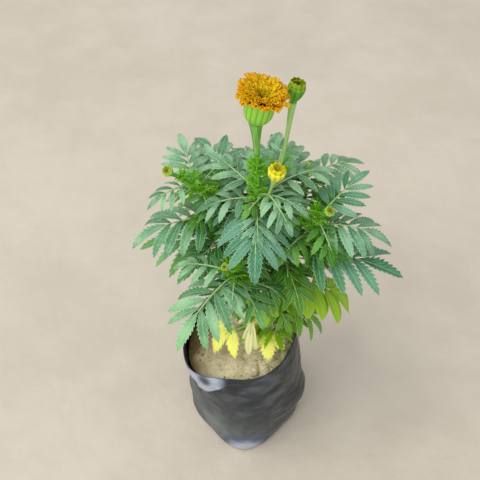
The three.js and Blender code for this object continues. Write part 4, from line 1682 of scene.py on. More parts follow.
@dataclass
class GrowBag:
    """The black film bag, in millimetres, with its folded lip, creases and pale front corner."""

    height: float = 98.0
    base_radius: float = 44.0
    corners: int = 4
    corner_reach: float = 2.5
    tip: Lobe = Lobe(azimuth=-88, spread=30, reach=4.5)
    lean: float = 2.4
    rim_radius: float = 48.0
    tuck: Lobe = Lobe(azimuth=-24, spread=38, reach=-6)
    waist: Lobe = Lobe(azimuth=205, spread=45, reach=-2.6)
    belly: float = 1.5
    foot_bend: float = 3.0
    foot_height: float = 4.0
    lip: Lobe = Lobe(azimuth=217, spread=24, reach=8)
    lip_drop: float = 4.0
    flap: Lobe = Lobe(azimuth=231, spread=27, reach=21)
    flap_swell: float = 1.6
    flap_clear: float = 6.0
    flap_ripple: float = 2.2
    flap_scale: float = 0.11
    roll: float = 1.4
    roll_share: float = 0.25
    roll_width: float = 0.33
    roll_rise: float = 0.5
    sides: int = 168
    rows: int = 64
    lip_rows: int = 14
    film: float = 0.35
    pleat: float = 0.9
    pleat_power: int = 12
    rim_wave: float = 0.9
    rim_scale: float = 2.7
    ridge: float = 0.5
    ridge_scale: float = 0.034
    ridge_stretch: float = 2.2
    ridge_width: float = 2.6
    ridge_level: float = 0.35
    sway: float = 1.2
    sway_scale: float = 0.05
    sway_stretch: float = 1.5
    seed: int = 31
    folds: int = 26
    fold_depths: tuple[float, float] = (0.6, 1.9)
    fold_levels: tuple[float, float] = (6.0, 88.0)
    fold_heights: tuple[float, float] = (2.2, 5.5)
    fold_spreads: tuple[float, float] = (14.0, 40.0)
    fold_slope: float = 9.0
    bulge: Spot = Spot(azimuth=-8, spread=30, level=34, half_height=17, strength=5)
    dust: Spot = Spot(azimuth=-136, spread=44, level=16, half_height=34, strength=0.9)
    front_dust: Spot = Spot(azimuth=-95, spread=42, level=6, half_height=26, strength=0.6)
    corner: Spot = Spot(azimuth=-88, spread=20, level=2, half_height=15, strength=1.2)
    # blue marks a spot on the lip where the painted reflection stays blue; the next two set how that
    # reflection rises on the hanging flap
    blue: Spot = Spot(azimuth=233, spread=7, level=90, half_height=7, strength=0.8)
    flap_gleam: float = 2.4
    flap_gleam_offset: float = 0.9
    # how raised the creases are, for their painted highlight
    plain_crease: float = 0.5
    relief_crease: float = 0.3

    def radius(self, level: np.ndarray, angle: np.ndarray) -> np.ndarray:
        """Gives the bag's radius before it is creased.

        Args:
            level: Heights.
            angle: The angle about the bag at each.

        Returns:
            The radii.
        """
        share = within(level, 0, self.height)
        base = self.base_radius + self.corner_reach * np.cos(self.corners * angle)
        base += self.lean * np.cos(angle)
        base += self.tip.out(angle)
        rim = self.rim_radius + self.lip.out(angle) * share**3 + self.tuck.out(angle) * share**5
        waist = self.belly + self.waist.out(angle)
        foot = self.foot_bend * (1 - within(level, 0, self.foot_height)) ** 1.5
        return lerp(base, rim, share) + waist * np.sin(np.pi * share) - foot

    def relief(self, angle: np.ndarray, points: np.ndarray) -> np.ndarray:
        """Gives how far the film's long folds and creases stand out.

        Args:
            angle: The angles of points about the bag.
            points: The points, in millimetres.

        Returns:
            The relief at each point, in millimetres.
        """
        draw = Draw(self.seed)
        level = points[:, 2]
        total = self.bulge.share(angle, level)
        for _ in range(self.folds):
            azimuth, height = draw.between(0, 360), draw.between(*self.fold_levels)
            spread, half_height = draw.between(*self.fold_spreads), draw.between(*self.fold_heights)
            slope, depth = self.fold_slope * draw.swing(), draw.between(*self.fold_depths)
            total += Spot(azimuth, spread, height, half_height, slope, depth).share(angle, level)
        ridges = np.abs(rough(points * [1, 1, self.ridge_stretch], self.ridge_scale, 1))
        ridges = (1 - within(ridges * self.ridge_width)) ** 3
        sway = rough(points * [1, 1, self.sway_stretch], self.sway_scale)
        return total + self.ridge * (ridges - self.ridge_level) + self.sway * sway

    def build(self, effects: Effects) -> list[Object]:
        """Builds the bag.

        Args:
            effects: The shared node groups.

        Returns:
            Its one piece.
        """
        Bench.circle(self.sides, 1.0)
        for _ in range(self.rows + self.lip_rows):
            bpy.ops.mesh.extrude_edges_move(TRANSFORM_OT_translate={"value": (0, 0, 1)})
        tube = Pattern.take(Bench.finish())
        bunch = Bunch()
        points, growth = self.shape(tube.corners)
        bunch.add(tube, points * MM, growth)
        piece = bunch.build("bag_film", [effects.material(FilmFinish())])
        Bench.clear()
        bpy.context.view_layer.objects.active = piece
        modifier = piece.modifiers.new("Wall", "SOLIDIFY")
        modifier.thickness = self.film * MM
        modifier.offset = 0
        bpy.ops.object.modifier_apply(modifier=modifier.name)
        return [enrol(piece, "film", "grow_bag")]

    def shape(self, tube: np.ndarray) -> tuple[np.ndarray, np.ndarray]:
        """Shapes a tube of unit radius, whose rows are 1 apart, into the bag and its turned lip.

        Args:
            tube: The tube's corners.

        Returns:
            The bag's corners, in millimetres, and for each how dusty it is, how pale (the lip's painted
            reflection and the pale front corner), and how raised its creases are (for their painted
            highlight).
        """
        reach, angle = polar(tube)
        row = tube[:, 2]
        hang = self.flap.near(angle)
        level = within(row, 0, self.rows) * (self.height - self.lip_drop * self.lip.near(angle))
        past = within(row, self.rows, self.rows + self.lip_rows)
        rolled = within(past, 0, self.roll_share)
        down = within(past, self.roll_share) * (self.roll + self.flap.reach * hang**1.5)
        z = level + self.roll_rise * np.sin(rolled * math.pi) - down
        out = self.roll_width * self.roll * (1 - np.cos(rolled * math.pi))
        out += self.flap_swell * hang * within(down, 0, self.flap_clear)
        r = self.radius(np.minimum(z, self.height), angle) + out
        points = around(r, angle, z)
        share = within(z, 0, self.height)
        relief = self.relief(angle, points)
        flap = self.flap_ripple * hang * past * rough(points, self.flap_scale)
        pleat = within(np.cos(self.corners * angle)) ** self.pleat_power
        pleat = self.pleat * pleat * (1 - share) ** 0.5
        r = (r + relief * np.sin(np.pi * share) ** 0.5 + flap + pleat) * (reach > 0.5)
        z = z + self.rim_wave * rough(around(self.rim_scale, angle, 0 * z), 1.0) * share**4
        dusty = within(self.dust.share(angle, z) + self.front_dust.share(angle, z))
        # the hanging flap carries a painted sky reflection, partly the film's lighter inner face
        gleam = within(self.flap_gleam * hang - self.flap_gleam_offset) * rolled
        gleam *= 1 - self.blue.share(angle, z)
        paleness = within(np.maximum(gleam, self.corner.share(angle, z)))
        growth = columns(dusty, paleness, within(self.plain_crease + self.relief_crease * relief))
        return around(r, angle, np.maximum(z, self.film / 2)), growth


@dataclass
class Soil:
    """The bag's dry soil, in millimetres, with its clods and crumbs."""

    bag: GrowBag
    top: float = 88.0
    inset: float = 1.9
    bottom: float = 1.8
    reach: float = 46.0
    mound: float = 3.0
    lump: float = 2.2
    lump_scale: float = 0.05
    small_lump: float = 0.8
    small_scale: float = 0.19
    small_shift: float = 90.0
    crack: float = 1.3
    crack_scale: float = 0.045
    crack_width: float = 9.0
    crack_shift: float = 30.0
    sides: int = 96
    wall_rows: int = 6
    rings: int = 34
    seed: int = 7
    crumbs: int = 520
    crumb_reach: float = 43.0
    crumb_span: tuple[float, float] = (0.01, 1.0)
    crumb_sizes: tuple[float, float] = (0.25, 1.15)
    crumb_damp: float = 0.4
    clods: int = 26
    clod_azimuths: tuple[float, float] = (-78.0, 20.0)
    clod_span: tuple[float, float] = (0.4, 1.0)
    clod_sizes: tuple[float, float] = (2.0, 5.2)
    clod_damp: float = 0.25
    stretches: tuple[tuple[float, float], ...] = ((0.8, 1.3), (0.7, 1.1), (0.5, 0.75))
    loose_rise: float = 0.2
    loose_bump: float = 0.35
    loose_scale: float = 0.9
    bank: float = 2.2
    bank_azimuth: float = -50.0
    # painted shade: darker soil on the left side under the wall and leaves, and along the wall
    shade_azimuth: float = 172.0
    shade_spread: float = 0.85
    shade_span: tuple[float, float] = (1 / 6, 5 / 6)
    damp_and_shade: float = 1.1
    rim_shade: float = 0.3
    rim_from: float = 0.85
    bed_damp: float = 0.25
    bed_damp_scale: float = 0.06
    bed_tint: float = 0.5
    loose_shade: float = 0.9
    wall_gap: float = 2.6

    def height(self, points: np.ndarray) -> np.ndarray:
        """Gives the soil's height.

        Args:
            points: Places in plan.

        Returns:
            The height at each.
        """
        r, angle = polar(points)
        flat = columns(points[:, 0], points[:, 1], 0)
        out = within(r, 0, self.reach)
        mound = self.mound * np.cos(out * math.pi / 2)
        bank = self.bank * np.cos(angle - math.radians(self.bank_azimuth)) * out
        lumps = self.lump * rough(flat, self.lump_scale, 3)
        lumps += self.small_lump * rough(flat + self.small_shift, self.small_scale, 3)
        away = np.abs(rough(flat + self.crack_shift, self.crack_scale, 1))
        cracks = self.crack * (1 - within(away * self.crack_width))
        return self.top + mound + bank + lumps - cracks

    def painted_shade(self, angle: np.ndarray, share: np.ndarray) -> np.ndarray:
        """Gives how much painted shade darkens the soil: on its left side, under the bag's wall and the
        leaves, and along the wall.

        Args:
            angle: Angles about the bag.
            share: The share of the way out to the bag at each.

        Returns:
            The painted shade at each, of 0 or more.
        """
        side = hump(off(angle, self.shade_azimuth), self.shade_spread) * within(share, *self.shade_span)
        return self.damp_and_shade * side + self.rim_shade * within(share, self.rim_from)

    def build(self, effects: Effects) -> list[Object]:
        """Builds the soil and what lies on it.

        Args:
            effects: The shared node groups.

        Returns:
            The two pieces.
        """
        finish = [effects.material(SoilFinish())]
        bed, crumbs = self.bed().build("soil_bed", finish), self.loose().build("soil_crumbs", finish)
        return [enrol(bed, "soil", "soil"), enrol(crumbs, "soil")]

    def bed(self) -> Bunch:
        """Models the soil that fills the bag.

        Returns:
            Its mesh.
        """
        walls = [(i, 1.0) for i in range(self.wall_rows + 1)]
        rings = [(self.wall_rows + i, 1 - i / self.rings) for i in range(1, self.rings)]
        body = PatternShop.turned([*walls, *rings], self.sides)
        share, angle = polar(body.corners)
        row = body.corners[:, 2]
        level = lerp(self.bottom, self.top, within(row, 0, self.wall_rows))
        points = around(share * (self.bag.radius(level, angle) - self.inset), angle, level)
        on_top = row > self.wall_rows - 0.5
        points[on_top, 2] = self.height(points[on_top])
        patches = self.bed_damp * within(rough(points, self.bed_damp_scale))
        # damp patches at random, plus painted shade
        damp_and_shade = within(self.painted_shade(angle, share) + patches)
        bunch = Bunch()
        bunch.add(body, points * MM, columns(damp_and_shade, self.bed_tint, 0))
        return bunch

    def loose(self) -> Bunch:
        """Models the crumbs, and the clods at the front right.

        Returns:
            Their mesh.
        """
        draw = Draw(self.seed)
        crumb, clod = PatternShop.ball(1), PatternShop.ball(2)
        bunch = Bunch()
        for i in range(self.crumbs + self.clods):
            big = i < self.clods
            pattern = clod if big else crumb
            azimuth = math.radians(draw.between(*(self.clod_azimuths if big else (0, 360))))
            reach = self.crumb_reach * math.sqrt(draw.between(*(self.clod_span if big else self.crumb_span)))
            if big:
                size = draw.between(*self.clod_sizes)
            else:
                size = lerp(*self.crumb_sizes, draw.between(0, 1) ** 3)
            centre = np.array([[reach * math.cos(azimuth), reach * math.sin(azimuth), 0]])
            centre[0, 2] = self.height(centre)[0] + size * self.loose_rise
            bump = 1 + self.loose_bump * rough(pattern.corners + i, self.loose_scale)
            stretch = [draw.between(*limits) for limits in self.stretches]
            shape = pattern.corners * bump[:, None] * stretch * size
            shape = turned_about_z(shape, draw.between(0, 360)) + centre
            r, a = polar(shape)
            limit = self.bag.radius(shape[:, 2], a) - self.wall_gap
            shape[:, :2] *= np.minimum(1, limit / np.maximum(r, 0.01))[:, None]
            # crumbs darken at random, and with the painted shade
            damp_and_shade = draw.between(0, self.clod_damp if big else self.crumb_damp)
            damp_and_shade = within(damp_and_shade + self.loose_shade * self.painted_shade(azimuth, reach / self.crumb_reach))
            bunch.add(pattern, shape * MM, np.array([damp_and_shade, draw.between(0, 1), 0]))
        return bunch


@dataclass
class Stems:
    """The green stems, with a swelling at each fork."""

    sides: int = 14
    rings: int = 72
    knot: float = 0.3
    knot_length: float = 3.5
    stalk_widths: tuple[float, float] = (0.68, 1.62)
    stalk_power: float = 8.0
    neck: float = 0.12
    neck_at: float = 0.88
    neck_length: float = 0.07
    funnel: float = 0.2
    funnel_power: float = 34.0
    lumps: float = 0.035
    lump_turns: int = 5
    lump_lean: float = 0.05
    streak_length: float = 20.0
    first_side: tuple[float, float, float] = (0.3, 1.0, 0.1)
    pale: tuple[str, ...] = ("tall", "near")

    def build(self, effects: Effects) -> list[Object]:
        """Builds the stems.

        Args:
            effects: The shared node groups.

        Returns:
            Their one piece.
        """
        rod = PatternShop.rod(self.sides, self.rings)
        bunch = Bunch()
        for name in STEMS:
            self.add(bunch, rod, name)
        finishes = [effects.material(finish) for finish in (STEM_FINISH, STALK_FINISH)]
        return [enrol(bunch.build("stem_skin", finishes), "stem", "stem")]

    def add(self, bunch: Bunch, rod: Pattern, name: str) -> None:
        """Adds one stem.

        Args:
            bunch: What it is added to.
            rod: A rod with this class's sides and rings.
            name: The stem.
        """
        t = np.linspace(0, 1, self.rings + 1)
        line = SKELETON.points(name, t)
        steps = np.gradient(line, axis=0)
        heads = steps / np.linalg.norm(steps, axis=1)[:, None]
        length = np.concatenate([[0], np.cumsum(np.linalg.norm(np.diff(line, axis=0), axis=1))])
        radius = SKELETON.radius(name, t)
        for other in STEMS.values():
            if other.parent == name:
                away = length - np.interp(other.at, t, length)
                radius = radius * (1 + self.knot * hump(away, self.knot_length))
        if STEMS[name].parent:
            radius = radius * lerp(*self.stalk_widths, t**self.stalk_power)
            radius = radius * (1 + self.knot * hump(length, self.knot_length))
        else:
            neck = self.neck * hump(t - self.neck_at, self.neck_length)
            radius = radius * (1 - neck + self.funnel * t**self.funnel_power)
        side = np.cross(heads[0], self.first_side)
        sides = []
        for head in heads:
            side = side - head * (side @ head)
            side = side / np.linalg.norm(side)
            sides.append(side)
        across = np.array(sides)
        third = np.cross(heads, across)
        ring = np.rint(rod.corners[:, 0] * self.rings).astype(int)
        y, z = rod.corners[:, 1], rod.corners[:, 2]
        angle = np.arctan2(z, y)
        lumps = self.lumps * np.cos(self.lump_turns * angle + length[ring] * self.lump_lean)
        reach = (radius[ring] * (1 + lumps))[:, None]
        points = line[ring] + reach * (y[:, None] * across[ring] + z[:, None] * third[ring])
        growth = around(1.0, angle, length[ring] / self.streak_length)
        bunch.add(rod, points * MM, growth, int(name in self.pale))


@dataclass(frozen=True)
class Thicket:
    """The smaller leaves that fill out one stem, between two shares of its length, in millimetres."""

    stem: str
    count: int
    span: tuple[float, float]
    lengths: tuple[float, float]
    pitches: tuple[float, float] = (-5.0, 35.0)
    finish: Habit = Habit.SHADED


THICKETS = {
    "main": Thicket("main", 21, (0.36, 0.7), (36, 54), finish=Habit.GREEN),
    "main_low": Thicket("main", 15, (0.16, 0.36), (30, 46), pitches=(5, 50)),
    "left": Thicket("left", 9, (0.15, 0.66), (30, 42)),
    "right": Thicket("right", 11, (0.15, 0.8), (32, 46)),
    "front": Thicket("front", 11, (0.2, 0.86), (30, 44), finish=Habit.GREEN),
    "back_left": Thicket("back_left", 11, (0.2, 0.9), (36, 52)),
    "back_right": Thicket("back_right", 11, (0.2, 0.9), (36, 52)),
    "tall": Thicket("tall", 3, (0.2, 0.4), (26, 34)),
}


@dataclass(frozen=True)
class Shoot:
    """A tuft of young leaves in the angle of a leaf. Its length is in millimetres."""

    stem: str
    at: float
    azimuth: float
    length: float


SHOOTS = [
    Shoot("main", 0.78, -120, 8),
    Shoot("main", 0.745, -70, 8),
    Shoot("main", 0.8, 20, 6.5),
    Shoot("main", 0.79, -170, 7),
    Shoot("main", 0.71, -110, 7),
    Shoot("main", 0.68, -130, 7),
    Shoot("left", 0.86, -60, 8),
    Shoot("left", 0.72, -50, 10),
    Shoot("left", 0.6, -60, 11),
    Shoot("left", 0.5, -80, 12),
    Shoot("right", 0.78, -150, 13),
    Shoot("right", 0.66, -120, 16),
    Shoot("right", 0.54, -110, 14),
    Shoot("front", 0.9, -20, 12),
    Shoot("front", 0.78, 180, 15),
    Shoot("front", 0.66, -30, 15),
    Shoot("tall", 0.54, -90, 11),
    Shoot("near", 0.12, -80, 9),
    Shoot("back_left", 0.76, -100, 12),
    Shoot("back_right", 0.68, -130, 12),
]


@dataclass
class Foliage:
    """All the leaves: the frame's own, the smaller ones between them, and the young shoots."""

    leaf_seed: int = 100
    extra_seed: int = 900
    thicket_seed: int = 55
    golden_angle: float = 137.5
    thicket_turn: float = 52.0
    thicket_pairs: int = 3
    thicket_sag: float = 24.0
    shoot_leaves: int = 7
    shoot_spread: float = 230.0
    shoot_chance: float = 10.0
    shoot_along: float = 0.015
    shoot_pitches: tuple[float, float] = (28.0, 80.0)
    shoot_lengths: tuple[float, float] = (0.6, 1.1)
    shoot_turn: float = 30.0
    shoot_pairs: int = 4
    shoot_sag: float = 10.0

    def build(self, effects: Effects) -> list[Object]:
        """Builds all the leaves.

        Args:
            effects: The shared node groups.

        Returns:
            The pieces.
        """
        maker = LeafMaker()
        blades = {habit: effects.material(finish) for habit, finish in LEAF_FINISHES.items()}
        rib = effects.material(RIB_FINISH)
        pieces = []
        for i, (name, leaf) in enumerate(LEAVES.items()):
            bunch = Bunch()
            maker.grow(bunch, leaf, Draw(self.leaf_seed + i), Draw(self.extra_seed + i))
            piece = bunch.build(f"{name}_leaflets", [blades[leaf.habit], rib])
            pieces.append(enrol(piece, leaf.habit.value, name))
        draw = Draw(self.thicket_seed)
        for name, thicket in THICKETS.items():
            bunch = self.thicket(thicket, maker, draw)
            piece = bunch.build(f"thicket_{name}", [blades[thicket.finish], rib])
            pieces.append(enrol(piece, "leaf"))
        young = blades[Habit.YOUNG]
        return [*pieces, enrol(self.shoots(maker, draw).build("young_shoots", [young, young]), "leaf")]

    def thicket(self, thicket: Thicket, maker: LeafMaker, draw: Draw) -> Bunch:
        """Grows a thicket.

        Args:
            thicket: The thicket.
            maker: What grows leaves.
            draw: The draw of its angles and lengths.

        Returns:
            Its mesh.
        """
        bunch = Bunch()
        first = draw.between(0, 360)
        for i in range(thicket.count):
            at = lerp(*thicket.span, (i + 0.5) / thicket.count)
            pitch, length = draw.between(*thicket.pitches), draw.between(*thicket.lengths)
            leaf = Leaf(
                thicket.stem, at, first + i * self.golden_angle, pitch, self.thicket_turn, length,
                self.thicket_pairs, self.thicket_sag, Habit.SHADED,
            )
            maker.grow(bunch, leaf, draw, draw)
        return bunch

    def shoots(self, maker: LeafMaker, draw: Draw) -> Bunch:
        """Grows the young shoots.

        Args:
            maker: What grows leaves.
            draw: The draw of their angles and lengths.

        Returns:
            Their mesh.
        """
        bunch = Bunch()
        for shoot in SHOOTS:
            for i in range(self.shoot_leaves):
                share = i / (self.shoot_leaves - 1) - 0.5
                azimuth = shoot.azimuth + self.shoot_spread * share + self.shoot_chance * draw.swing()
                pitch = draw.between(*self.shoot_pitches)
                length = shoot.length * draw.between(*self.shoot_lengths)
                at = shoot.at + self.shoot_along * draw.swing()
                leaf = Leaf(
                    shoot.stem, at, azimuth, pitch, self.shoot_turn, length,
                    self.shoot_pairs, self.shoot_sag, Habit.YOUNG,
                )
                maker.grow(bunch, leaf, draw, draw)
        return bunch


@dataclass(frozen=True)
class Perch:
    """Where a head sits, in millimetres, and the unit direction that it faces."""

    seat: np.ndarray
    facing: np.ndarray

    @classmethod
    def on(cls, stem: str, azimuth: float, pitch: float) -> "Perch":
        """Gives the perch at a stem's end.

        Args:
            stem: The stem.
            azimuth: Where the head faces.
            pitch: How far it looks up.

        Returns:
            The perch.
        """
        facing = heading(azimuth, pitch)
        return cls(SKELETON.head_seat(stem, facing), facing)

    def place(self, points: np.ndarray) -> np.ndarray:
        """Returns points of the head, which were given about its own z axis, in metres in the frame."""
        return (points @ along_z(self.facing).T + self.seat) * MM


@dataclass
class HeadMaker:
    """Models the parts that all heads share, in millimetres: ribbed cups, and petals in rings."""

    half_thickness: float = 0.16
    ruffle: float = 0.24
    ruffle_waves: float = 5.0
    sway: float = 0.5
    cup_steps: int = 22
    cup_wall: float = 0.2
    rim_inside: float = 0.9
    hollow: tuple[tuple[float, float], ...] = ((0.85, 0.82), (0.6, 0.6))
    ridge_level: float = 0.6
    ridge_foot: float = 0.4
    teeth_foot: float = 0.75
    cup_power: float = 1.5
    rib_columns: int = 8
    side_rate: float = 0.001

    def __post_init__(self) -> None:
        """Models the petals, station by station, and the grain."""
        broad = [(0, 0.24, 0), (0.22, 0.34, 0), (0.42, 0.5, 0), (0.6, 0.8, 0), (0.76, 1.1, 0)]
        self.broad = PatternShop.blade([*broad, (0.9, 1.06, 0), (1, 0.78, -0.4)], 4, notch=0.5)
        self.slim = PatternShop.blade([(0, 0.5, 0), (0.4, 0.85, 0), (0.75, 1.0, 0), (1, 0.5, -0.3)], 2)
        self.ball = PatternShop.ball(1)

    def cup(
        self, bunch: Bunch, perch: Perch, profile: Sequence[tuple[float, float]],
        ribs: int, depth: float, teeth: float,
    ) -> None:
        """Adds a ribbed cup with a tooth on each rib.

        Args:
            bunch: What it is added to.
            perch: Where its foot is.
            profile: Its height and radius at each level.
            ribs: How many ribs it has.
            depth: How deep the grooves between them are.
            teeth: How far the rim is cut down between the teeth.
        """
        height, rim = profile[-1]
        outside = [tuple(row) for row in smooth_line(profile, np.linspace(0, 1, self.cup_steps))]
        inside = [(height - self.cup_wall, rim * self.rim_inside)]
        inside += [(height * level, rim * reach) for level, reach in self.hollow]
        pattern = PatternShop.turned([*outside, *inside], ribs * self.rib_columns)
        r, a = polar(pattern.corners)
        z = pattern.corners[:, 2]
        ridge = np.abs(np.cos(ribs * a / 2))
        share = z / height
        rise = within(share, 0, self.ridge_foot) ** self.cup_power
        r = r + depth * (ridge - self.ridge_level) * rise * (r > 0.01)
        cut = teeth * (1 - ridge) * within(share, self.teeth_foot) ** self.cup_power
        bunch.add(pattern, perch.place(around(r, a, z - cut)), columns(ridge, share, 0))

    def petal(
        self, bunch: Bunch, perch: Perch, pattern: Pattern, azimuth: float, root: tuple[float, float],
        bend: tuple[float, float, float], width: float, curl: float, growth: tuple[float, float], draw: Draw,
    ) -> None:
        """Adds a petal.

        Args:
            bunch: What it is added to.
            perch: Where the head is.
            pattern: The petal's shape.
            azimuth: Where about the head's axis it grows.
            root: How far from the axis, and how high, its foot is.
            bend: Its pitch, how far it turns down, and its length.
            width: Its width.
            curl: How far its sides curl up, as a share of its width.
            growth: Its share of the way out from the middle, and its own tint.
            draw: The draw of its ruffles.
        """
        s, y, face = pattern.corners.T
        ruffle = self.ruffle * width * draw.swing() * np.sin(self.ruffle_waves * y + 3 * draw.swing()) * s**2
        h = curl * width * y**2 * (0.5 + 0.5 * s) + ruffle + face * self.half_thickness
        aside = y * width / 2 + self.sway * draw.swing() * s**2
        pitch, turn, length = bend
        points = Bend(pitch, turn, length, self.side_rate).place(s * length, aside, h)
        points = turned_about_z(points + [root[0], 0, root[1]], azimuth)
        bunch.add(pattern, perch.place(points), columns(*growth, (face + 1) / 2))


@dataclass(frozen=True)
class Side:
    """A side of the bloom where its florets differ: towards an azimuth, most at the rim."""

    azimuth: float
    spread: float
    pitch: float
    turn: float
    reach: float

    def share(self, azimuth: float, out: float) -> float:
        """Returns how much a floret at an azimuth differs, at a share of the way out to the rim."""
        return float(hump(off(math.radians(azimuth), self.azimuth), math.radians(self.spread))) * out**3


@dataclass
class Bloom:
    """The open double bloom on its cup. Sizes are in millimetres."""

    lean: tuple[float, float] = (0.0, 80.0)
    cup: tuple[tuple[float, float], ...] = (
        (0, 5.2), (1.2, 6.5), (4, 8.9), (9, 10.4), (20, 11.1), (22, 10.6),
    )
    ribs: int = 16
    rib_depth: float = 0.34
    teeth: float = 2.6
    seed: int = 11
    petals: int = 270
    hole: int = 20
    root_radius: float = 8.8
    root_height: float = 20.2
    dimple: float = 6.4
    lengths: tuple[float, float] = (5.0, 12.2)
    pitches: tuple[float, float] = (92.0, 38.0)
    turns: tuple[float, float] = (4.0, 36.0)
    widths: tuple[float, float] = (1.7, 4.6)
    curls: tuple[float, float] = (0.9, 0.3)
    pitch_power: float = 1.3
    turn_power: float = 1.8
    azimuth_chance: float = 7.0
    pitch_chance: float = 12.0
    turn_chance: float = 0.4
    length_chance: float = 0.14
    width_chance: float = 0.15
    sides: tuple[Side, ...] = (
        Side(azimuth=-50, spread=55, pitch=0, turn=-6, reach=-0.12),
        Side(azimuth=200, spread=45, pitch=-26, turn=0, reach=-0.3),
    )
    golden_angle: float = 137.508
    middle: float = 0.42

    def build(self, maker: HeadMaker, effects: Effects) -> list[Object]:
        """Builds the bloom.

        Args:
            maker: What models cups and petals.
            effects: The shared node groups.

        Returns:
            Its pieces.
        """
        perch = Perch.on("main", *self.lean)
        cup, outer, inner = Bunch(), Bunch(), Bunch()
        maker.cup(cup, perch, self.cup, self.ribs, self.rib_depth, self.teeth)
        draw = Draw(self.seed)
        for i in range(self.hole, self.petals):
            share = math.sqrt((i + 0.5) / self.petals)
            azimuth = (i * self.golden_angle + self.azimuth_chance * draw.swing()) % 360
            pitch = lerp(*self.pitches, share**self.pitch_power) + self.pitch_chance * draw.swing()
            turn = lerp(*self.turns, share**self.turn_power) * (1 + self.turn_chance * draw.swing())
            length = lerp(*self.lengths, share) * (1 + self.length_chance * draw.swing())
            width = lerp(*self.widths, share**self.pitch_power) * (1 + self.width_chance * draw.swing())
            reach = 1.0
            for side in self.sides:
                much = side.share(azimuth, share)
                pitch += side.pitch * much
                turn += side.turn * much
                reach += side.reach * much
            root = (self.root_radius * share, self.root_height - self.dimple * (1 - share))
            growth = (share, draw.between(0, 1))
            bunch, pattern = (inner, maker.slim) if share < self.middle else (outer, maker.broad)
            bend, curl = (pitch, turn, length * reach), lerp(*self.curls, share)
            maker.petal(bunch, perch, pattern, azimuth, root, bend, width, curl, growth, draw)
        petals = [effects.material(BLOOM_PETALS)]
        return [
            enrol(cup.build("bloom_cup_ribbed", [effects.material(PALE_CUP)]), "cup", "bloom_cup"),
            enrol(outer.build("bloom_florets", petals), "petals", "bloom_petals"),
            enrol(inner.build("bloom_middle", petals), "eye", "bloom_eye"),
        ]


@dataclass(frozen=True)
class Bud:
    """An unopened head. Its sizes are in millimetres, and its petals' are shares of its radius."""

    name: str
    azimuth: float
    pitch: float
    radius: float
    height: float
    petals: int
    finish: PetalFinish = PALE_PETALS
    cup: CupFinish = PALE_CUP
    petal_length: float = 0.62
    petal_width: float = 1.25
    close: float = 95.0
    curl: float = 0.12
    middle: float = 0.5
    grain_level: float = 0.9
    broad: bool = False
    rings: int = 2


BUDS = [
    Bud("tall", 10, 79, 6.2, 14, 9, GREEN_PETALS, DARK_CUP, petal_length=1.0, close=30),
    Bud(
        "near", -35, 78, 6.4, 12, 8, YELLOW_PETALS, GOLD_CUP, petal_length=0.78, petal_width=1.3,
        close=84, curl=-0.16, middle=0.55, grain_level=0.68, broad=True, rings=1,
    ),
    Bud("left", -120, 55, 4.2, 8, 10),
    Bud("right", -60, 55, 3.8, 7.5, 10),
    Bud("front", -110, 55, 2.8, 5.5, 8),
    Bud("back_left", 120, 65, 3.8, 8, 10),
    Bud("back_right", 50, 65, 3.4, 7.5, 9),
]


@dataclass(frozen=True)
class Ring:
    """A ring of a bud's petals. Its petals' sizes and where they grow are shares of the bud's own."""

    reach: float
    level: float
    length: float
    share: float
    pitch: float
    close: float
    shift: float = 0.0


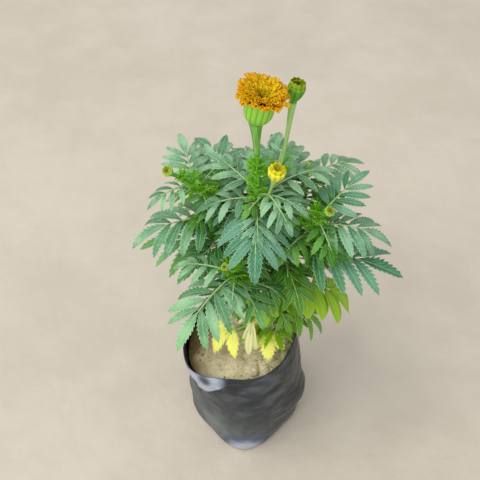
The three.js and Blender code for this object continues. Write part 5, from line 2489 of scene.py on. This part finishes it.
@dataclass
class Buds:
    """The buds, each with a ribbed cup and petals that close over its middle."""

    profile: tuple[tuple[float, float], ...] = ((0, 0.3), (0.25, 0.64), (0.6, 0.96), (0.86, 1), (1, 0.88))
    ribs: int = 9
    rib_depth: float = 0.07
    teeth: float = 0.1
    rings: tuple[Ring, ...] = (
        Ring(reach=0.8, level=0.8, length=1.0, share=0.95, pitch=74, close=1.0),
        Ring(reach=0.6, level=0.8, length=0.85, share=0.6, pitch=86, close=0.8, shift=0.5),
    )
    seed: int = 70
    angle_chance: float = 5.0
    length_chance: float = 0.1
    grains: int = 24
    grain_size: float = 0.12
    grain_share: float = 0.02
    golden_angle: float = 137.5

    def build(self, maker: HeadMaker, effects: Effects) -> list[Object]:
        """Builds the buds.

        Args:
            maker: What models cups and petals.
            effects: The shared node groups.

        Returns:
            Their pieces.
        """
        pieces = []
        for i, bud in enumerate(BUDS):
            perch = Perch.on(bud.name, bud.azimuth, bud.pitch)
            cup, petals = Bunch(), Bunch()
            profile = [(z * bud.height, r * bud.radius) for z, r in self.profile]
            maker.cup(cup, perch, profile, self.ribs, self.rib_depth * bud.radius, self.teeth * bud.height)
            draw = Draw(self.seed + i)
            for ring in self.rings[: bud.rings]:
                self.ring(petals, maker, perch, bud, ring, draw)
            self.add_grains(petals, maker, perch, bud, draw)
            node = f"bud_{bud.name}"
            cup_piece = cup.build(f"{node}_cup_ribbed", [effects.material(bud.cup)])
            pieces.append(enrol(cup_piece, "cup", f"{node}_cup"))
            petal_piece = petals.build(f"{node}_petals_closed", [effects.material(bud.finish)])
            pieces.append(enrol(petal_piece, "bud_petals", f"{node}_petals"))
        return pieces

    def ring(
        self, bunch: Bunch, maker: HeadMaker, perch: Perch, bud: Bud, ring: Ring, draw: Draw
    ) -> None:
        """Adds a ring of petals.

        Args:
            bunch: What they are added to.
            maker: What models petals.
            perch: Where the bud is.
            bud: The bud.
            ring: The ring.
            draw: The draw of their angles, lengths and tints.
        """
        for j in range(bud.petals):
            azimuth = 360 * (j + ring.shift) / bud.petals + self.angle_chance * draw.swing()
            length = bud.petal_length * bud.radius * ring.length * (1 + self.length_chance * draw.swing())
            bend = (ring.pitch + self.angle_chance * draw.swing(), -bud.close * ring.close, length)
            width = 2 * math.pi * bud.radius * ring.reach / bud.petals * bud.petal_width
            root = (bud.radius * ring.reach, bud.height * ring.level)
            growth = (ring.share, draw.between(0, 1))
            pattern = maker.broad if bud.broad else maker.slim
            maker.petal(bunch, perch, pattern, azimuth, root, bend, width, bud.curl, growth, draw)

    def add_grains(self, bunch: Bunch, maker: HeadMaker, perch: Perch, bud: Bud, draw: Draw) -> None:
        """Adds the grains in a bud's middle.

        Args:
            bunch: What they are added to.
            maker: What models the grain.
            perch: Where the bud is.
            bud: The bud.
            draw: The draw of their heights and tints.
        """
        size = bud.radius * self.grain_size
        for j in range(self.grains):
            reach = bud.radius * bud.middle * math.sqrt((j + 0.5) / self.grains)
            centre = np.array([reach, 0, bud.height * bud.grain_level + size * draw.swing()])
            points = turned_about_z(maker.ball.corners * size + centre, j * self.golden_angle)
            growth = np.array([self.grain_share, draw.between(0, 1), 1.0])
            bunch.add(maker.ball, perch.place(points), growth)


@dataclass(frozen=True)
class Lamp:
    """A square light: where it stands and the length of its sides in metres, and its power in watts."""

    name: str
    place: tuple[float, float, float]
    size: float
    power: float


@dataclass
class Studio:
    """The floor, the lights and the camera, in metres and degrees, with the lens in millimetres."""

    floor_size: float = 14.0
    camera_at: tuple[float, float, float] = (-0.0025, -0.54235, 0.75349)
    camera_tilt: float = 45.0
    lens: float = 75.0
    sensor: float = 36.0
    nearest: float = 0.01
    lamps: tuple[Lamp, ...] = (
        Lamp("key", (-1.9, -1.0, 2.9), size=4.2, power=110),
        Lamp("fill", (0.3, -2.2, 0.7), size=1.6, power=14),
    )
    sky: float = 0.6
    sky_colour: Colour = (0.97, 0.98, 1.0)
    aim: tuple[float, float, float] = (0.0, 0.0, 0.15)

    def build(self, effects: Effects) -> None:
        """Sets up the floor, the lights and the camera.

        Args:
            effects: The shared node groups.
        """
        scene = bpy.context.scene
        scene.view_settings.view_transform = "Standard"
        Bench.clear()
        bpy.ops.mesh.primitive_plane_add(size=self.floor_size, location=(0, 0, 0))
        floor = bpy.context.view_layer.objects.active
        floor.name = "studio_floor"
        floor.data.materials.append(effects.material(FloorFinish()))
        world = bpy.data.worlds.new("soft_sky")
        world.use_nodes = True
        background = world.node_tree.nodes["Background"]
        background.inputs["Color"].default_value = (*self.sky_colour, 1.0)
        background.inputs["Strength"].default_value = self.sky
        scene.world = world
        for lamp in self.lamps:
            self.light(lamp)
        bpy.ops.object.camera_add(location=self.camera_at, rotation=(math.radians(self.camera_tilt), 0, 0))
        camera = bpy.context.view_layer.objects.active
        camera.data.lens = self.lens
        camera.data.sensor_width = self.sensor
        camera.data.clip_start = self.nearest
        scene.camera = camera

    def light(self, lamp: Lamp) -> None:
        """Adds a light that looks at the plant.

        Args:
            lamp: What light it is.
        """
        bpy.ops.object.light_add(type="AREA", location=lamp.place)
        light = bpy.context.view_layer.objects.active
        light.name = lamp.name
        light.data.size = lamp.size
        light.data.energy = lamp.power
        aim = Vector(self.aim) - light.location
        light.rotation_euler = aim.to_track_quat("-Z", "Y").to_euler()


def main() -> None:
    """Builds the plant, its bag and the studio."""
    logging.basicConfig(level=logging.INFO, format="%(name)s %(message)s")
    effects = Effects()
    bag = GrowBag()
    heads = HeadMaker()
    pieces = bag.build(effects)
    for maker in (Soil(bag), Stems(), Foliage()):
        pieces += maker.build(effects)
    for maker in (Bloom(), Buds()):
        pieces += maker.build(heads, effects)
    LOG.info("%d pieces", len(pieces))
    Studio().build(effects)


if __name__ == "__main__":
    main()
